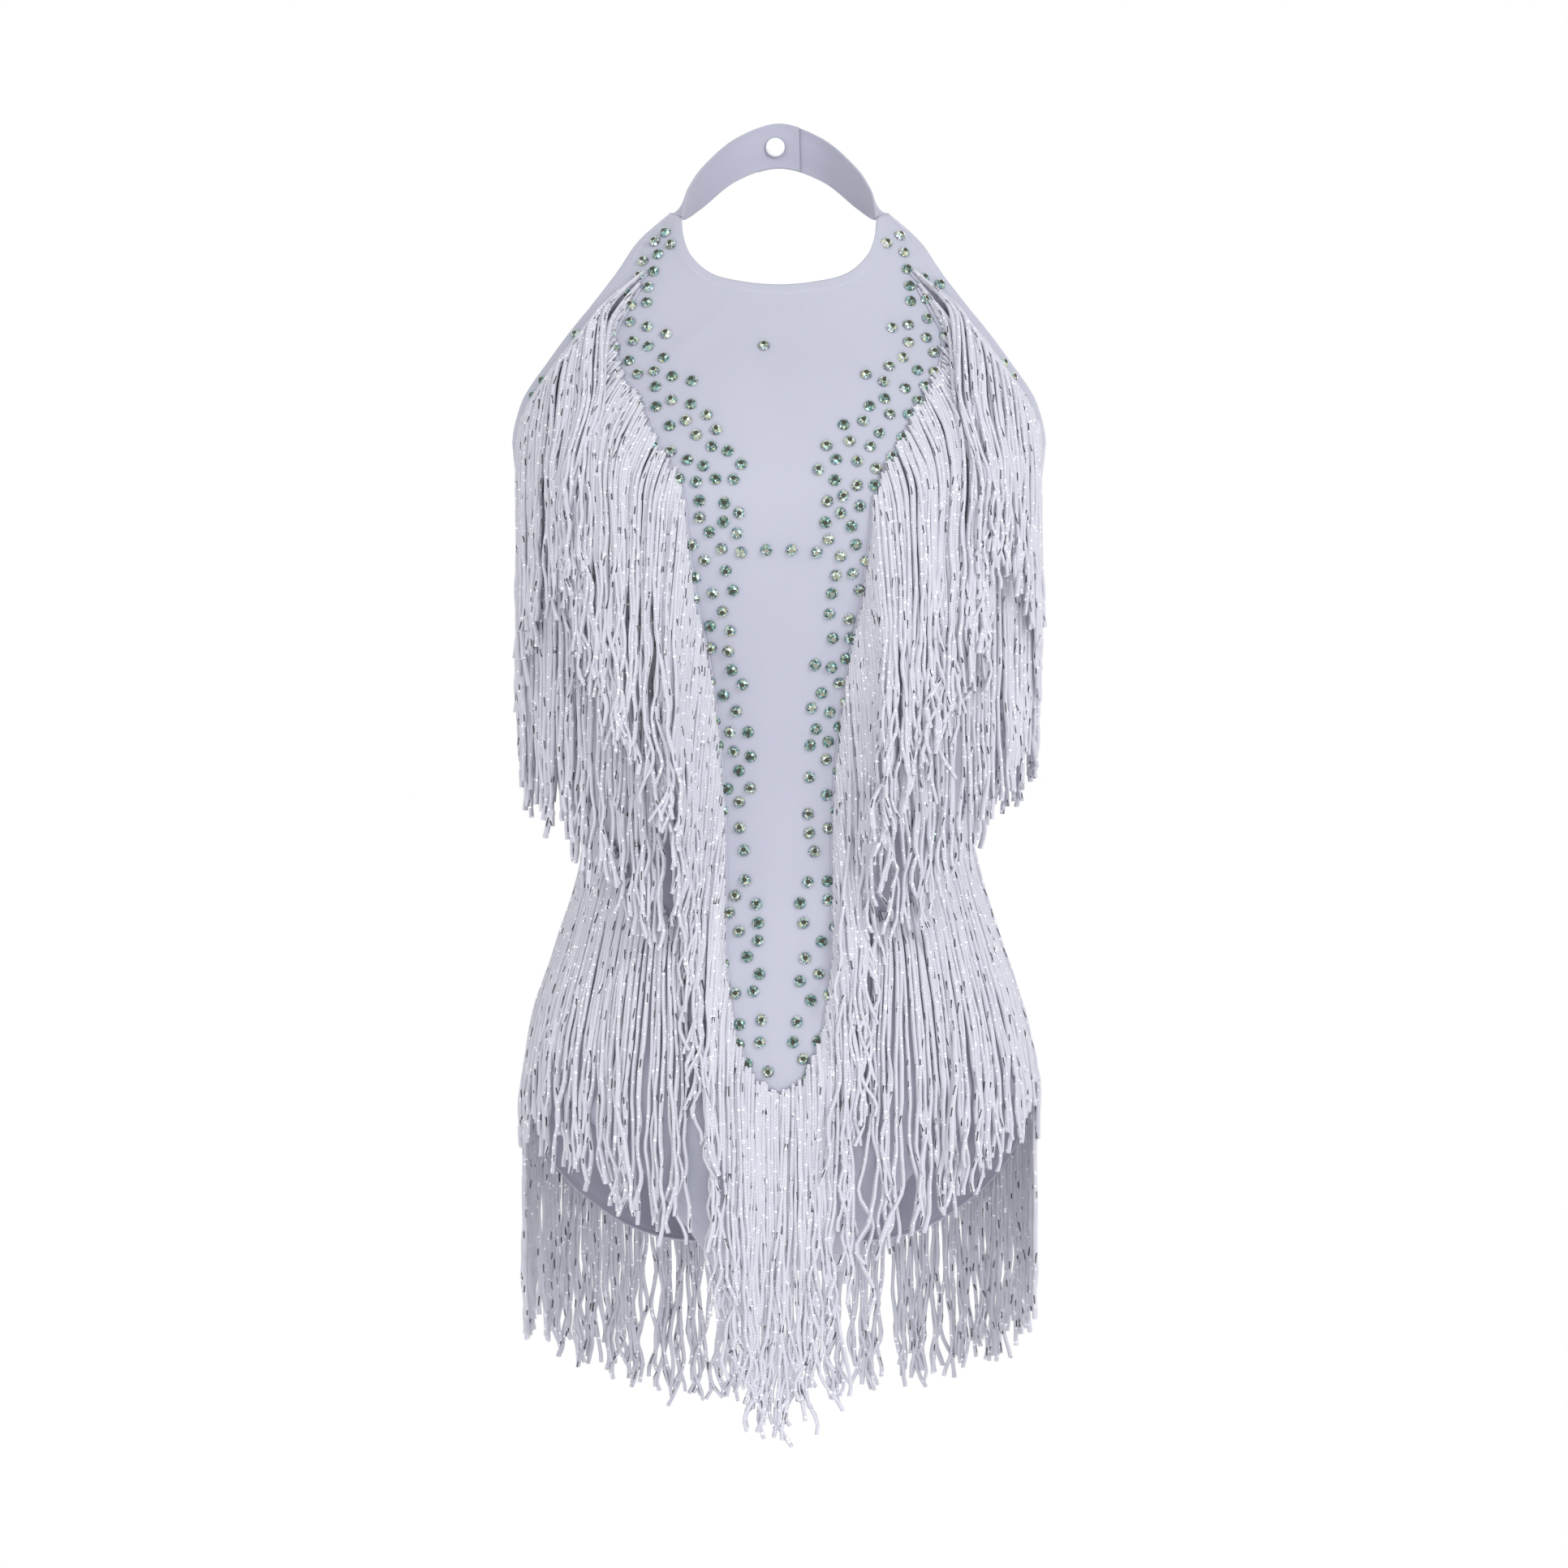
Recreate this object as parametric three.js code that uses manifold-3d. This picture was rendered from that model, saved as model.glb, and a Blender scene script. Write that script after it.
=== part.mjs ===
// Halter bodysuit in stretch satin, with rows of chainette fringe sewn on tapes.
// Millimetres, +Z up, the front faces -Y. The origin is on the inner face of the
// neck band at the nape, where the wearer's neck holds the garment up.
import * as THREE from "three";
import Module from "manifold-3d";

const wasm = await Module();
wasm.setup();

// Driving dimensions
const wallThickness = 1.5;      // stretch satin with its turned hems
const seamGap = 0.3;            // between pieces that are sewn together
const sideLineY = -55;          // plane of the side seams
const squareness = 2.2;         // of the body's section: 2 is an ellipse
const bandThickness = 1.8;      // neck band, two layers
const bandLap = 13;             // how far each band end passes the centre back
const snapDiameter = 12;
const snapHeight = 1.8;
const snapPlace = { x: -2.5, z: -1 };
const snapRelief = 1;           // the band curves towards the inner cap's rim
const gussetFrontZ = -684;
const gussetBackZ = -690;
const fringeLength = 200;
const tapeWidth = 5;
const tapeInner = 1.1;          // tape's inner face above the cloth
const tapeOuter = 2.2;          // tape's outer face above the cloth
const strandThickness = 2.4;
const strandTip = 0.7;          // tip width as a share of the root's
const sewnHeight = 2.5;         // middle of a strand above the cloth where it is sewn
const strandLayers = [2.9, 6.6, 10.3];   // and lower down, by layer
const liftLength = 24;          // length in which a strand reaches its layer
const strandStep = 10;          // between the places where a strand's lie is worked out
const strandBends = [0.8, 1.1, 1.4];    // places this near to a straight run are left out

const colors = {
  satin: "#cfcfe3",
  band: "#c9c9da",
  fringe: "#c6c6d6",
  snap: "#f1f1f4",
};

// Hollow form by height: half width, and depth before and behind the side line
const formLevels = [
  { z: -45, halfWidth: 62, front: 35, back: 40 },
  { z: -56, halfWidth: 76, front: 39, back: 48 },
  { z: -68, halfWidth: 92, front: 43, back: 55 },
  { z: -90, halfWidth: 118, front: 51, back: 62 },
  { z: -112, halfWidth: 138, front: 61, back: 68 },
  { z: -132, halfWidth: 150, front: 72, back: 74 },
  { z: -160, halfWidth: 161, front: 88, back: 80 },
  { z: -190, halfWidth: 164, front: 101, back: 85 },
  { z: -230, halfWidth: 158, front: 111, back: 87 },
  { z: -278, halfWidth: 142, front: 104, back: 85 },
  { z: -340, halfWidth: 123, front: 89, back: 81 },
  { z: -408, halfWidth: 113, front: 80, back: 80 },
  { z: -450, halfWidth: 119, front: 83, back: 88 },
  { z: -493, halfWidth: 132, front: 89, back: 101 },
  { z: -545, halfWidth: 149, front: 95, back: 117 },
  { z: -592, halfWidth: 157, front: 97, back: 124 },
  { z: -630, halfWidth: 157, front: 91, back: 122 },
  { z: -660, halfWidth: 155, front: 77, back: 110 },
  { z: -684, halfWidth: 150, front: 52, back: 86 },
  { z: -696, halfWidth: 146, front: 27, back: 50 },
];

// Shallow cups: angle from the centre front, height, reach each way and depth
const cup = { turn: 40, z: -236, reachTurn: 24, reachZ: 44, depth: 8 };

// Half span of the front at its armhole edge
const armholeEdge = [
  { z: -51.5, halfSpan: 68 },
  { z: -68, halfSpan: 85.4 },
  { z: -89, halfSpan: 98.8 },
  { z: -111, halfSpan: 115 },
  { z: -130, halfSpan: 130 },
  { z: -148, halfSpan: 143 },
  { z: -164, halfSpan: 154.6 },
  { z: -177, halfSpan: 160 },
  { z: -190, halfSpan: 163.6 },
];
const underarmZ = -190;

// Edges by distance from the centre line
const neckEdge = [
  { x: -25, z: -96.5 },
  { x: 0, z: -99 },
  { x: 25, z: -96.5 },
  { x: 42, z: -91 },
  { x: 54, z: -79 },
  { x: 58.5, z: -66 },
  { x: 59.5, z: -56 },
  { x: 68, z: -51.5 },
];
const frontLegEdge = [
  { x: 45, z: gussetFrontZ },
  { x: 60, z: -660 },
  { x: 80, z: -634 },
  { x: 103, z: -611 },
  { x: 122, z: -599.5 },
  { x: 140, z: -591 },
  { x: 157, z: -577 },
];
const backTopEdge = [
  { x: 0, z: -300 },
  { x: 60, z: -288 },
  { x: 110, z: -250 },
  { x: 145, z: -212 },
  { x: 163.6, z: -190 },
];
const backLegEdge = [
  { x: 47, z: gussetBackZ },
  { x: 75, z: -687 },
  { x: 98, z: -679 },
  { x: 120, z: -664 },
  { x: 136, z: -648 },
  { x: 150, z: -622 },
  { x: 157, z: -577 },
];

// Right neck band's outer face, from the front to the nape: its two long edges
const bandPath = [
  { neckX: 59.2, neckY: -81.5, neckZ: -54.2, outerX: 67.3, outerY: -65.2, outerZ: -50.1 },
  { neckX: 58.5, neckY: -67, neckZ: -43, outerX: 64, outerY: -50, outerZ: -49 },
  { neckX: 56, neckY: -47, neckZ: -32, outerX: 60, outerY: -33, outerZ: -50 },
  { neckX: 47, neckY: -27, neckZ: -16, outerX: 49, outerY: -18, outerZ: -41 },
  { neckX: 27, neckY: -7, neckZ: 4, outerX: 28, outerY: -4, outerZ: -23 },
  { neckX: 0, neckY: 1.8, neckZ: 14.3, outerX: 0, outerY: 1.8, outerZ: -13.7 },
  { neckX: -27, neckY: -7, neckZ: 4, outerX: -28, outerY: -4, outerZ: -23 },
  { neckX: -47, neckY: -27, neckZ: -16, outerX: -49, outerY: -18, outerZ: -41 },
];
const bandNapeRow = 5;          // the row at the centre back
const bandLiftSpan = { full: 14, none: 50 };   // distance from the centre back

// Fringe rows on one side of the body. turn and hang are degrees from the centre
// of the panel: where a strand is sewn, and where it hangs. strands is the number
// from this place to the next.
const fringeRows = {
  fringe_armhole: {
    panel: "front", layer: 3, strandWidth: 5, length: fringeLength,
    places: [
      { turn: 63.5, z: -90, hang: 42, strands: 3 },
      { turn: 67.5, z: -106, hang: 51, strands: 3 },
      { turn: 69, z: -134, hang: 60.5, strands: 3 },
      { turn: 71, z: -160, hang: 69.5, strands: 3 },
      { turn: 77, z: -186, hang: 79, strands: 0 },
    ],
  },
  fringe_centre: {
    panel: "front", layer: 2, strandWidth: 3, length: 205,
    places: [
      { turn: 51, z: -176, hang: 49.5, strands: 4 },
      { turn: 42, z: -182, hang: 41, strands: 3 },
      { turn: 26.5, z: -232, hang: 33, strands: 2 },
      { turn: 27, z: -294, hang: 30.5, strands: 2 },
      { turn: 24.7, z: -349, hang: 28, strands: 2 },
      { turn: 23.4, z: -398, hang: 25.5, strands: 3 },
      { turn: 19.7, z: -509, hang: 20, strands: 2 },
      { turn: 15.4, z: -552, hang: 14.5, strands: 3 },
      { turn: 8.5, z: -580, hang: 8, strands: 3 },
      { turn: 1.3, z: -586, hang: 1.3, strands: 0 },
    ],
  },
  fringe_underbust: {
    panel: "front", layer: 1, strandWidth: 5, length: fringeLength,
    places: [
      { turn: 78, z: -200, hang: 78, strands: 5 },
      { turn: 63, z: -240, hang: 63, strands: 4 },
      { turn: 47, z: -282, hang: 47, strands: 4 },
      { turn: 38, z: -300, hang: 38, strands: 0 },
    ],
  },
  fringe_hip: {
    panel: "front", layer: 1, strandWidth: 5, length: fringeLength,
    places: [
      { turn: 85, z: -416, hang: 86, strands: 4 },
      { turn: 65, z: -440, hang: 65, strands: 3 },
      { turn: 54, z: -462, hang: 54, strands: 2 },
      { turn: 46, z: -478, hang: 46, strands: 2 },
      { turn: 38.5, z: -483, hang: 38.5, strands: 0 },
    ],
  },
  fringe_back_upper: {
    panel: "back", layer: 3, strandWidth: 5, length: 190,
    places: [
      { turn: 86, z: -205, hang: 86, strands: 3 },
      { turn: 74, z: -225, hang: 74, strands: 3 },
      { turn: 60, z: -262, hang: 60, strands: 3 },
      { turn: 37, z: -301, hang: 37, strands: 4 },
      { turn: 2.2, z: -313, hang: 2.2, strands: 0 },
    ],
  },
  fringe_back_waist: {
    panel: "back", layer: 2, strandWidth: 5, length: fringeLength,
    places: [
      { turn: 87, z: -420, hang: 87, strands: 3 },
      { turn: 70, z: -440, hang: 70, strands: 4 },
      { turn: 45, z: -468, hang: 45, strands: 3 },
      { turn: 20, z: -480, hang: 20, strands: 3 },
      { turn: 2.2, z: -484, hang: 2.2, strands: 0 },
    ],
  },
  fringe_back_seat: {
    panel: "back", layer: 1, strandWidth: 5, length: fringeLength,
    places: [
      { turn: 85, z: -540, hang: 85, strands: 4 },
      { turn: 65, z: -560, hang: 65, strands: 3 },
      { turn: 45, z: -585, hang: 45, strands: 4 },
      { turn: 22, z: -600, hang: 22, strands: 3 },
      { turn: 1.8, z: -605, hang: 1.8, strands: 0 },
    ],
  },
};

// Smooth curve through the rows of a table, from one of its columns to another
function curveThrough(rows, from, to) {
  const sorted = [...rows].sort((a, b) => a[from] - b[from]);
  const places = sorted.map((row) => row[from]);
  const values = sorted.map((row) => row[to]);
  const last = places.length - 1;
  const slopeAt = (i) => {
    const before = Math.max(i - 1, 0);
    const after = Math.min(i + 1, last);
    return (values[after] - values[before]) / (places[after] - places[before]);
  };
  return (at) => {
    if (at <= places[0]) return values[0];
    if (at >= places[last]) return values[last];
    const i = places.findIndex((place) => place > at) - 1;
    const span = places[i + 1] - places[i];
    const t = (at - places[i]) / span;
    const rise = values[i + 1] - values[i];
    const startSlope = slopeAt(i) * span;
    const endSlope = slopeAt(i + 1) * span;
    const square = 3 * rise - 2 * startSlope - endSlope;
    const cube = startSlope + endSlope - 2 * rise;
    return values[i] + t * (startSlope + t * (square + t * cube));
  };
}

const halfWidthAt = curveThrough(formLevels, "z", "halfWidth");
const frontDepthAt = curveThrough(formLevels, "z", "front");
const backDepthAt = curveThrough(formLevels, "z", "back");

const radians = (degrees) => THREE.MathUtils.degToRad(degrees);
const degrees = (angle) => THREE.MathUtils.radToDeg(angle);

// Height z where a falling-off gap function changes sign
function crossing(gap, low, high) {
  for (let i = 0; i < 40; i += 1) {
    const middle = (low + high) / 2;
    if (gap(middle) < 0) low = middle;
    else high = middle;
  }
  return (low + high) / 2;
}

function cupSwell(turn, z) {
  const aside = (Math.abs(degrees(turn)) - cup.turn) / cup.reachTurn;
  const above = (z - cup.z) / cup.reachZ;
  return cup.depth * Math.exp(-aside * aside - above * above);
}

// Distance from the body's axis to the form, turn radians round from the front
function formRadius(turn, z) {
  const depth = Math.cos(turn) >= 0 ? frontDepthAt(z) : backDepthAt(z);
  const across = Math.abs(Math.sin(turn)) / halfWidthAt(z);
  const along = Math.abs(Math.cos(turn)) / depth;
  const radius = (across ** squareness + along ** squareness) ** (-1 / squareness);
  return Math.cos(turn) > 0 ? radius + cupSwell(turn, z) : radius;
}

function plumbPoint(turn, z, radius) {
  return new THREE.Vector3(radius * Math.sin(turn), sideLineY - radius * Math.cos(turn), z);
}

function formNormal(turn, z) {
  const turnStep = 0.002;
  const zStep = 0.25;
  const across = plumbPoint(turn + turnStep, z, formRadius(turn + turnStep, z))
    .sub(plumbPoint(turn - turnStep, z, formRadius(turn - turnStep, z)));
  const up = plumbPoint(turn, z + zStep, formRadius(turn, z + zStep))
    .sub(plumbPoint(turn, z - zStep, formRadius(turn, z - zStep)));
  return across.cross(up).normalize();
}

// Point on the form, moved out along its normal
function formPoint(turn, z, out = 0) {
  const point = plumbPoint(turn, z, formRadius(turn, z));
  return point.addScaledVector(formNormal(turn, z), out);
}

// A section is run through by phi, which spaces points evenly round a squarish oval
function spanAt(phi, z) {
  return halfWidthAt(z) * Math.sin(phi) ** (2 / squareness);
}

function phiAtSpan(span, z) {
  return Math.asin(Math.min(span / halfWidthAt(z), 1) ** (squareness / 2));
}

function turnAt(phi, z, depthAt) {
  const span = Math.sign(phi) * spanAt(Math.abs(phi), z);
  const depth = depthAt(z) * Math.cos(phi) ** (2 / squareness);
  return Math.atan2(span, depth);
}

// Closed mesh from its corners and its faces
function bodyGeometry(corners, faces) {
  const geometry = new THREE.BufferGeometry();
  const positions = corners.flatMap((corner) => [corner.x, corner.y, corner.z]);
  geometry.setAttribute("position", new THREE.Float32BufferAttribute(positions, 3));
  geometry.setIndex(faces.flat());
  geometry.computeVertexNormals();
  return geometry;
}

// Cloth wall between two grids of points, the outer one seen with its rows going
// up and its columns going right. The cells' diagonals mirror each other.
function clothWall(outer, inner) {
  const rowCount = outer.length;
  const columnCount = outer[0].length;
  const corners = [...outer.flat(), ...inner.flat()];
  const innerStart = rowCount * columnCount;
  const at = (row, column) => row * columnCount + column;
  const faces = [];
  for (let row = 0; row < rowCount - 1; row += 1) {
    for (let column = 0; column < columnCount - 1; column += 1) {
      const a = at(row, column);
      const b = at(row, column + 1);
      const c = at(row + 1, column + 1);
      const d = at(row + 1, column);
      const mirroredCell = column >= (columnCount - 1) / 2;
      const halves = mirroredCell ? [[a, b, d], [b, c, d]] : [[a, b, c], [a, c, d]];
      for (const [p, q, r] of halves) {
        faces.push([p, q, r], [p + innerStart, r + innerStart, q + innerStart]);
      }
    }
  }
  const rim = (p, q) => {
    faces.push([q, p, p + innerStart], [q, p + innerStart, q + innerStart]);
  };
  for (let column = 0; column < columnCount - 1; column += 1) {
    rim(at(0, column), at(0, column + 1));
    rim(at(rowCount - 1, column + 1), at(rowCount - 1, column));
  }
  for (let row = 0; row < rowCount - 1; row += 1) {
    rim(at(row, columnCount - 1), at(row + 1, columnCount - 1));
    rim(at(row + 1, 0), at(row, 0));
  }
  return bodyGeometry(corners, faces);
}

// Grid of points on a panel between its bottom and top edges
function panelWall(panel) {
  const { columns, rows, phiEdge, bottomAt, topAt, turnOf } = panel;
  const outer = [];
  const inner = [];
  for (let row = 0; row <= rows; row += 1) {
    const outerRow = [];
    const innerRow = [];
    for (let column = 0; column <= columns; column += 1) {
      const share = (2 * column) / columns - 1;
      const z = THREE.MathUtils.lerp(bottomAt(share), topAt(share), row / rows);
      const turn = turnOf(share * phiEdge(z), z);
      outerRow.push(formPoint(turn, z));
      innerRow.push(formPoint(turn, z, -wallThickness));
    }
    outer.push(outerRow);
    inner.push(innerRow);
  }
  return clothWall(outer, inner);
}

const sidePhi = Math.PI / 2 - 0.001;    // leaves the gap of the side seam

function frontPanel() {
  const halfSpanAt = curveThrough(armholeEdge, "z", "halfSpan");
  const neckAt = curveThrough(neckEdge, "x", "z");
  const legAt = curveThrough(frontLegEdge, "x", "z");
  const phiEdge = (z) => (z < underarmZ - 6 ? sidePhi : phiAtSpan(halfSpanAt(z), z));
  const spanOf = (share, z) => spanAt(Math.abs(share) * phiEdge(z), z);
  return panelWall({
    columns: 20,
    rows: 26,
    phiEdge,
    turnOf: (phi, z) => turnAt(phi, z, frontDepthAt),
    topAt: (share) => crossing((z) => z - neckAt(spanOf(share, z)), -110, -51.5),
    bottomAt: (share) => crossing((z) => z - legAt(spanOf(share, z)), gussetFrontZ, -560),
  });
}

function backPanel() {
  const topEdgeAt = curveThrough(backTopEdge, "x", "z");
  const legAt = curveThrough(backLegEdge, "x", "z");
  const spanOf = (share, z) => spanAt(Math.abs(share) * sidePhi, z);
  return panelWall({
    columns: 20,
    rows: 19,
    phiEdge: () => sidePhi,
    turnOf: (phi, z) => Math.PI + turnAt(phi, z, backDepthAt),
    topAt: (share) => crossing((z) => z - topEdgeAt(spanOf(share, z)), -310, -189),
    bottomAt: (share) => crossing((z) => z - legAt(spanOf(share, z)), gussetBackZ, -560),
  });
}

// Grid of a strip and its second face, thickness away along the surface's normal
function stripWall(pointAt, rows, columns, thickness) {
  const outer = [];
  const inner = [];
  const small = 1e-3;
  for (let row = 0; row <= rows; row += 1) {
    const outerRow = [];
    const innerRow = [];
    for (let column = 0; column <= columns; column += 1) {
      const along = row / rows;
      const across = column / columns;
      const right = pointAt(along, across + small).sub(pointAt(along, across - small));
      const after = pointAt(Math.min(along + small, 1), across);
      const up = after.sub(pointAt(Math.max(along - small, 0), across));
      const normal = right.cross(up).normalize();
      const point = pointAt(along, across);
      outerRow.push(point);
      innerRow.push(point.clone().addScaledVector(normal, -thickness));
    }
    outer.push(outerRow);
    inner.push(innerRow);
  }
  return clothWall(outer, inner);
}

function gusset() {
  const gussetPath = [
    { y: sideLineY - frontDepthAt(gussetFrontZ), z: gussetFrontZ, halfWidth: 45 },
    { y: -81, z: -696, halfWidth: 41 },
    { y: -52, z: -700, halfWidth: 39 },
    { y: -18, z: -698.5, halfWidth: 42 },
    { y: sideLineY + backDepthAt(gussetBackZ), z: gussetBackZ, halfWidth: 47 },
  ];
  const path = new THREE.CatmullRomCurve3(
    gussetPath.map((place) => new THREE.Vector3(place.halfWidth, place.y, place.z)),
  );
  const ease = (1.5 * seamGap) / path.getLength();
  const pointAt = (along, across) => {
    const place = path.getPoint(THREE.MathUtils.lerp(ease, 1 - ease, along));
    const x = place.x * (1 - 2 * across);
    const round = (1 - (Math.abs(x) / halfWidthAt(place.z)) ** squareness) ** (1 / squareness);
    return new THREE.Vector3(x, sideLineY + (place.y - sideLineY) * round, place.z);
  };
  return stripWall(pointAt, 9, 4, wallThickness);
}

// Neck band on one side: side is 1 for the right, -1 for the left. lift moves it
// outwards at the nape, so that the two ends lie on each other.
function neckBand(side, lift) {
  const edge = (name) => new THREE.CatmullRomCurve3(
    bandPath.map((row) => new THREE.Vector3(row[`${name}X`], row[`${name}Y`], row[`${name}Z`])),
  );
  const neck = edge("neck");
  const outer = edge("outer");
  const end = bandNapeRow / (bandPath.length - 1) + bandLap / neck.getLength();
  const pointAt = (along, across) => {
    const at = along * end;
    const share = side > 0 ? 1 - across : across;
    const point = outer.getPoint(at).lerp(neck.getPoint(at), share);
    const { full, none } = bandLiftSpan;
    point.y += lift * (1 - THREE.MathUtils.smoothstep(point.x, full, none));
    point.x *= side;
    return point;
  };
  return stripWall(pointAt, 18, 3, bandThickness);
}

// Domed cap, its flat face at the origin and its dome along +Y
function snapCap() {
  const radius = snapDiameter / 2;
  const profile = [
    new THREE.Vector2(0, 0),
    new THREE.Vector2(radius, 0),
    new THREE.Vector2(radius, snapHeight * 0.35),
    new THREE.Vector2(radius * 0.92, snapHeight * 0.7),
    new THREE.Vector2(radius * 0.6, snapHeight * 0.95),
    new THREE.Vector2(0, snapHeight),
  ];
  return new THREE.LatheGeometry(profile, 16);
}

// Closed prism through rings of points, with its faces out
function prism(rings) {
  const size = rings[0].length;
  const corners = rings.flat();
  const faces = [];
  for (let ring = 0; ring < rings.length - 1; ring += 1) {
    for (let k = 0; k < size; k += 1) {
      const a = ring * size + k;
      const b = ring * size + ((k + 1) % size);
      faces.push([a, b, b + size], [a, b + size, a + size]);
    }
  }
  const lastRing = (rings.length - 1) * size;
  for (let k = 1; k < size - 1; k += 1) {
    faces.push([0, k + 1, k], [lastRing, lastRing + k, lastRing + k + 1]);
  }
  const volume = faces.reduce(
    (sum, [a, b, c]) => sum + corners[a].dot(corners[b].clone().cross(corners[c])),
    0,
  );
  return { corners, faces: volume > 0 ? faces : faces.map(([a, b, c]) => [a, c, b]) };
}

function solidFrom({ corners, faces }) {
  return new wasm.Manifold(new wasm.Mesh({
    numProp: 3,
    vertProperties: new Float32Array(corners.flatMap((corner) => [corner.x, corner.y, corner.z])),
    triVerts: new Uint32Array(faces.flat()),
  }));
}

function geometryFrom(solid) {
  const mesh = solid.getMesh();
  const geometry = new THREE.BufferGeometry();
  geometry.setAttribute("position", new THREE.Float32BufferAttribute(mesh.vertProperties, 3));
  geometry.setIndex([...mesh.triVerts]);
  geometry.computeVertexNormals();
  return geometry;
}

// Places along a row at which its strands are sewn, and the row's own points
function rowPlaces(places) {
  const spots = [];
  for (let i = 0; i < places.length - 1; i += 1) {
    const start = places[i];
    const end = places[i + 1];
    for (let k = 0; k < start.strands; k += 1) {
      const share = (k + 0.5) / start.strands;
      spots.push({
        turn: THREE.MathUtils.lerp(start.turn, end.turn, share),
        z: THREE.MathUtils.lerp(start.z, end.z, share),
        hang: THREE.MathUtils.lerp(start.hang, end.hang, share),
      });
    }
  }
  return spots;
}

// Angle round from the centre front, on the right side of the body
function frontTurn(panel, fromCentre) {
  return radians(panel === "front" ? fromCentre : 180 - fromCentre);
}

// Tape that the strands are sewn to: a narrow strip just off the cloth
function tape(row) {
  const rings = [];
  const pieces = 4;
  for (let i = 0; i < row.places.length - 1; i += 1) {
    const start = row.places[i];
    const end = row.places[i + 1];
    for (let k = i === 0 ? 0 : 1; k <= pieces; k += 1) {
      const share = k / pieces;
      const turn = frontTurn(row.panel, THREE.MathUtils.lerp(start.turn, end.turn, share));
      rings.push({ turn, z: THREE.MathUtils.lerp(start.z, end.z, share) });
    }
  }
  const middle = rings.map(({ turn, z }) => formPoint(turn, z));
  return prism(rings.map(({ turn, z }, i) => {
    const normal = formNormal(turn, z);
    const before = middle[Math.max(i - 1, 0)];
    const after = middle[Math.min(i + 1, middle.length - 1)];
    const width = after.clone().sub(before).cross(normal).setLength(tapeWidth / 2);
    const low = middle[i].clone().sub(width);
    const high = middle[i].clone().add(width);
    return [
      low.clone().addScaledVector(normal, tapeInner),
      high.clone().addScaledVector(normal, tapeInner),
      high.clone().addScaledVector(normal, tapeOuter),
      low.clone().addScaledVector(normal, tapeOuter),
    ];
  }));
}

// Middle line of a strand: it follows the form where that pushes it out, and
// hangs plumb below
function strandPath(row, spot) {
  const layer = strandLayers[row.layer - 1];
  const lifted = (at, height, lift) => {
    const outwards = new THREE.Vector3(Math.sin(at), -Math.cos(at), 0);
    const facing = formNormal(at, height).dot(outwards);
    return formRadius(at, height) + lift / facing;
  };
  const startTurn = frontTurn(row.panel, spot.turn);
  const endTurn = frontTurn(row.panel, spot.hang);
  const path = [];
  let z = spot.z + 1;
  let radius = lifted(startTurn, z, sewnHeight);
  let turn = startTurn;
  let run = 0;
  path.push({ turn, z, radius });
  while (run < row.length) {
    const step = Math.min(strandStep, row.length - run);
    run += step;
    z -= step;
    turn = THREE.MathUtils.lerp(startTurn, endTurn, THREE.MathUtils.smoothstep(run, 0, 90));
    const lift = THREE.MathUtils.lerp(sewnHeight, layer, Math.min(run / liftLength, 1));
    radius = Math.max(radius, lifted(turn, z, lift));
    path.push({ turn, z, radius });
  }
  return straightened(path, strandBends[row.layer - 1]);
}

// Leaves out the places that a straight run between their neighbours comes close to
function straightened(path, allowed) {
  const points = path.map(({ turn, z, radius }) => plumbPoint(turn, z, radius));
  const kept = [0];
  const nearest = new THREE.Vector3();
  for (let end = 2; end < path.length; end += 1) {
    const start = kept[kept.length - 1];
    const run = new THREE.Line3(points[start], points[end]);
    const bends = points.slice(start + 1, end).some((point) => {
      run.closestPointToPoint(point, true, nearest);
      return nearest.distanceTo(point) > allowed;
    });
    if (bends) kept.push(end - 1);
  }
  return [...kept, path.length - 1].map((i) => path[i]);
}

// Three-sided strand, flat towards the body
function strand(row, spot) {
  const path = strandPath(row, spot);
  const rings = path.map(({ turn, z, radius }) => {
    const share = (spot.z - z) / row.length;
    const halfWidth = (row.strandWidth / 2) * THREE.MathUtils.lerp(1, strandTip, share);
    const aside = new THREE.Vector3(Math.cos(turn), Math.sin(turn), 0);
    const outwards = new THREE.Vector3(Math.sin(turn), -Math.cos(turn), 0);
    const middle = plumbPoint(turn, z, radius);
    const back = middle.clone().addScaledVector(outwards, -strandThickness / 2);
    return [
      back.clone().addScaledVector(aside, -halfWidth),
      back.clone().addScaledVector(aside, halfWidth),
      middle.clone().addScaledVector(outwards, strandThickness / 2),
    ];
  });
  return prism(rings);
}

function mirrored({ corners, faces }) {
  return {
    corners: corners.map((corner) => new THREE.Vector3(-corner.x, corner.y, corner.z)),
    faces: faces.map(([a, b, c]) => [a, c, b]),
  };
}

function fringe(row, side) {
  const turned = (body) => solidFrom(side > 0 ? body : mirrored(body));
  const strands = rowPlaces(row.places).map((spot) => turned(strand(row, spot)));
  return geometryFrom(strands.reduce((whole, one) => whole.add(one), turned(tape(row))));
}

const garment = new THREE.Group();

function addPiece(name, geometry, color, roughness) {
  const material = new THREE.MeshStandardMaterial({ color, roughness, metalness: 0 });
  const piece = new THREE.Mesh(geometry, material);
  piece.name = name;
  garment.add(piece);
  return piece;
}

addPiece("front", frontPanel(), colors.satin, 0.45);
addPiece("back", backPanel(), colors.satin, 0.45);
addPiece("gusset", gusset(), colors.satin, 0.45);
addPiece("neck_band_left", neckBand(-1, 0), colors.band, 0.5);
addPiece("neck_band_right", neckBand(1, bandThickness + seamGap), colors.band, 0.5);

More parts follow.
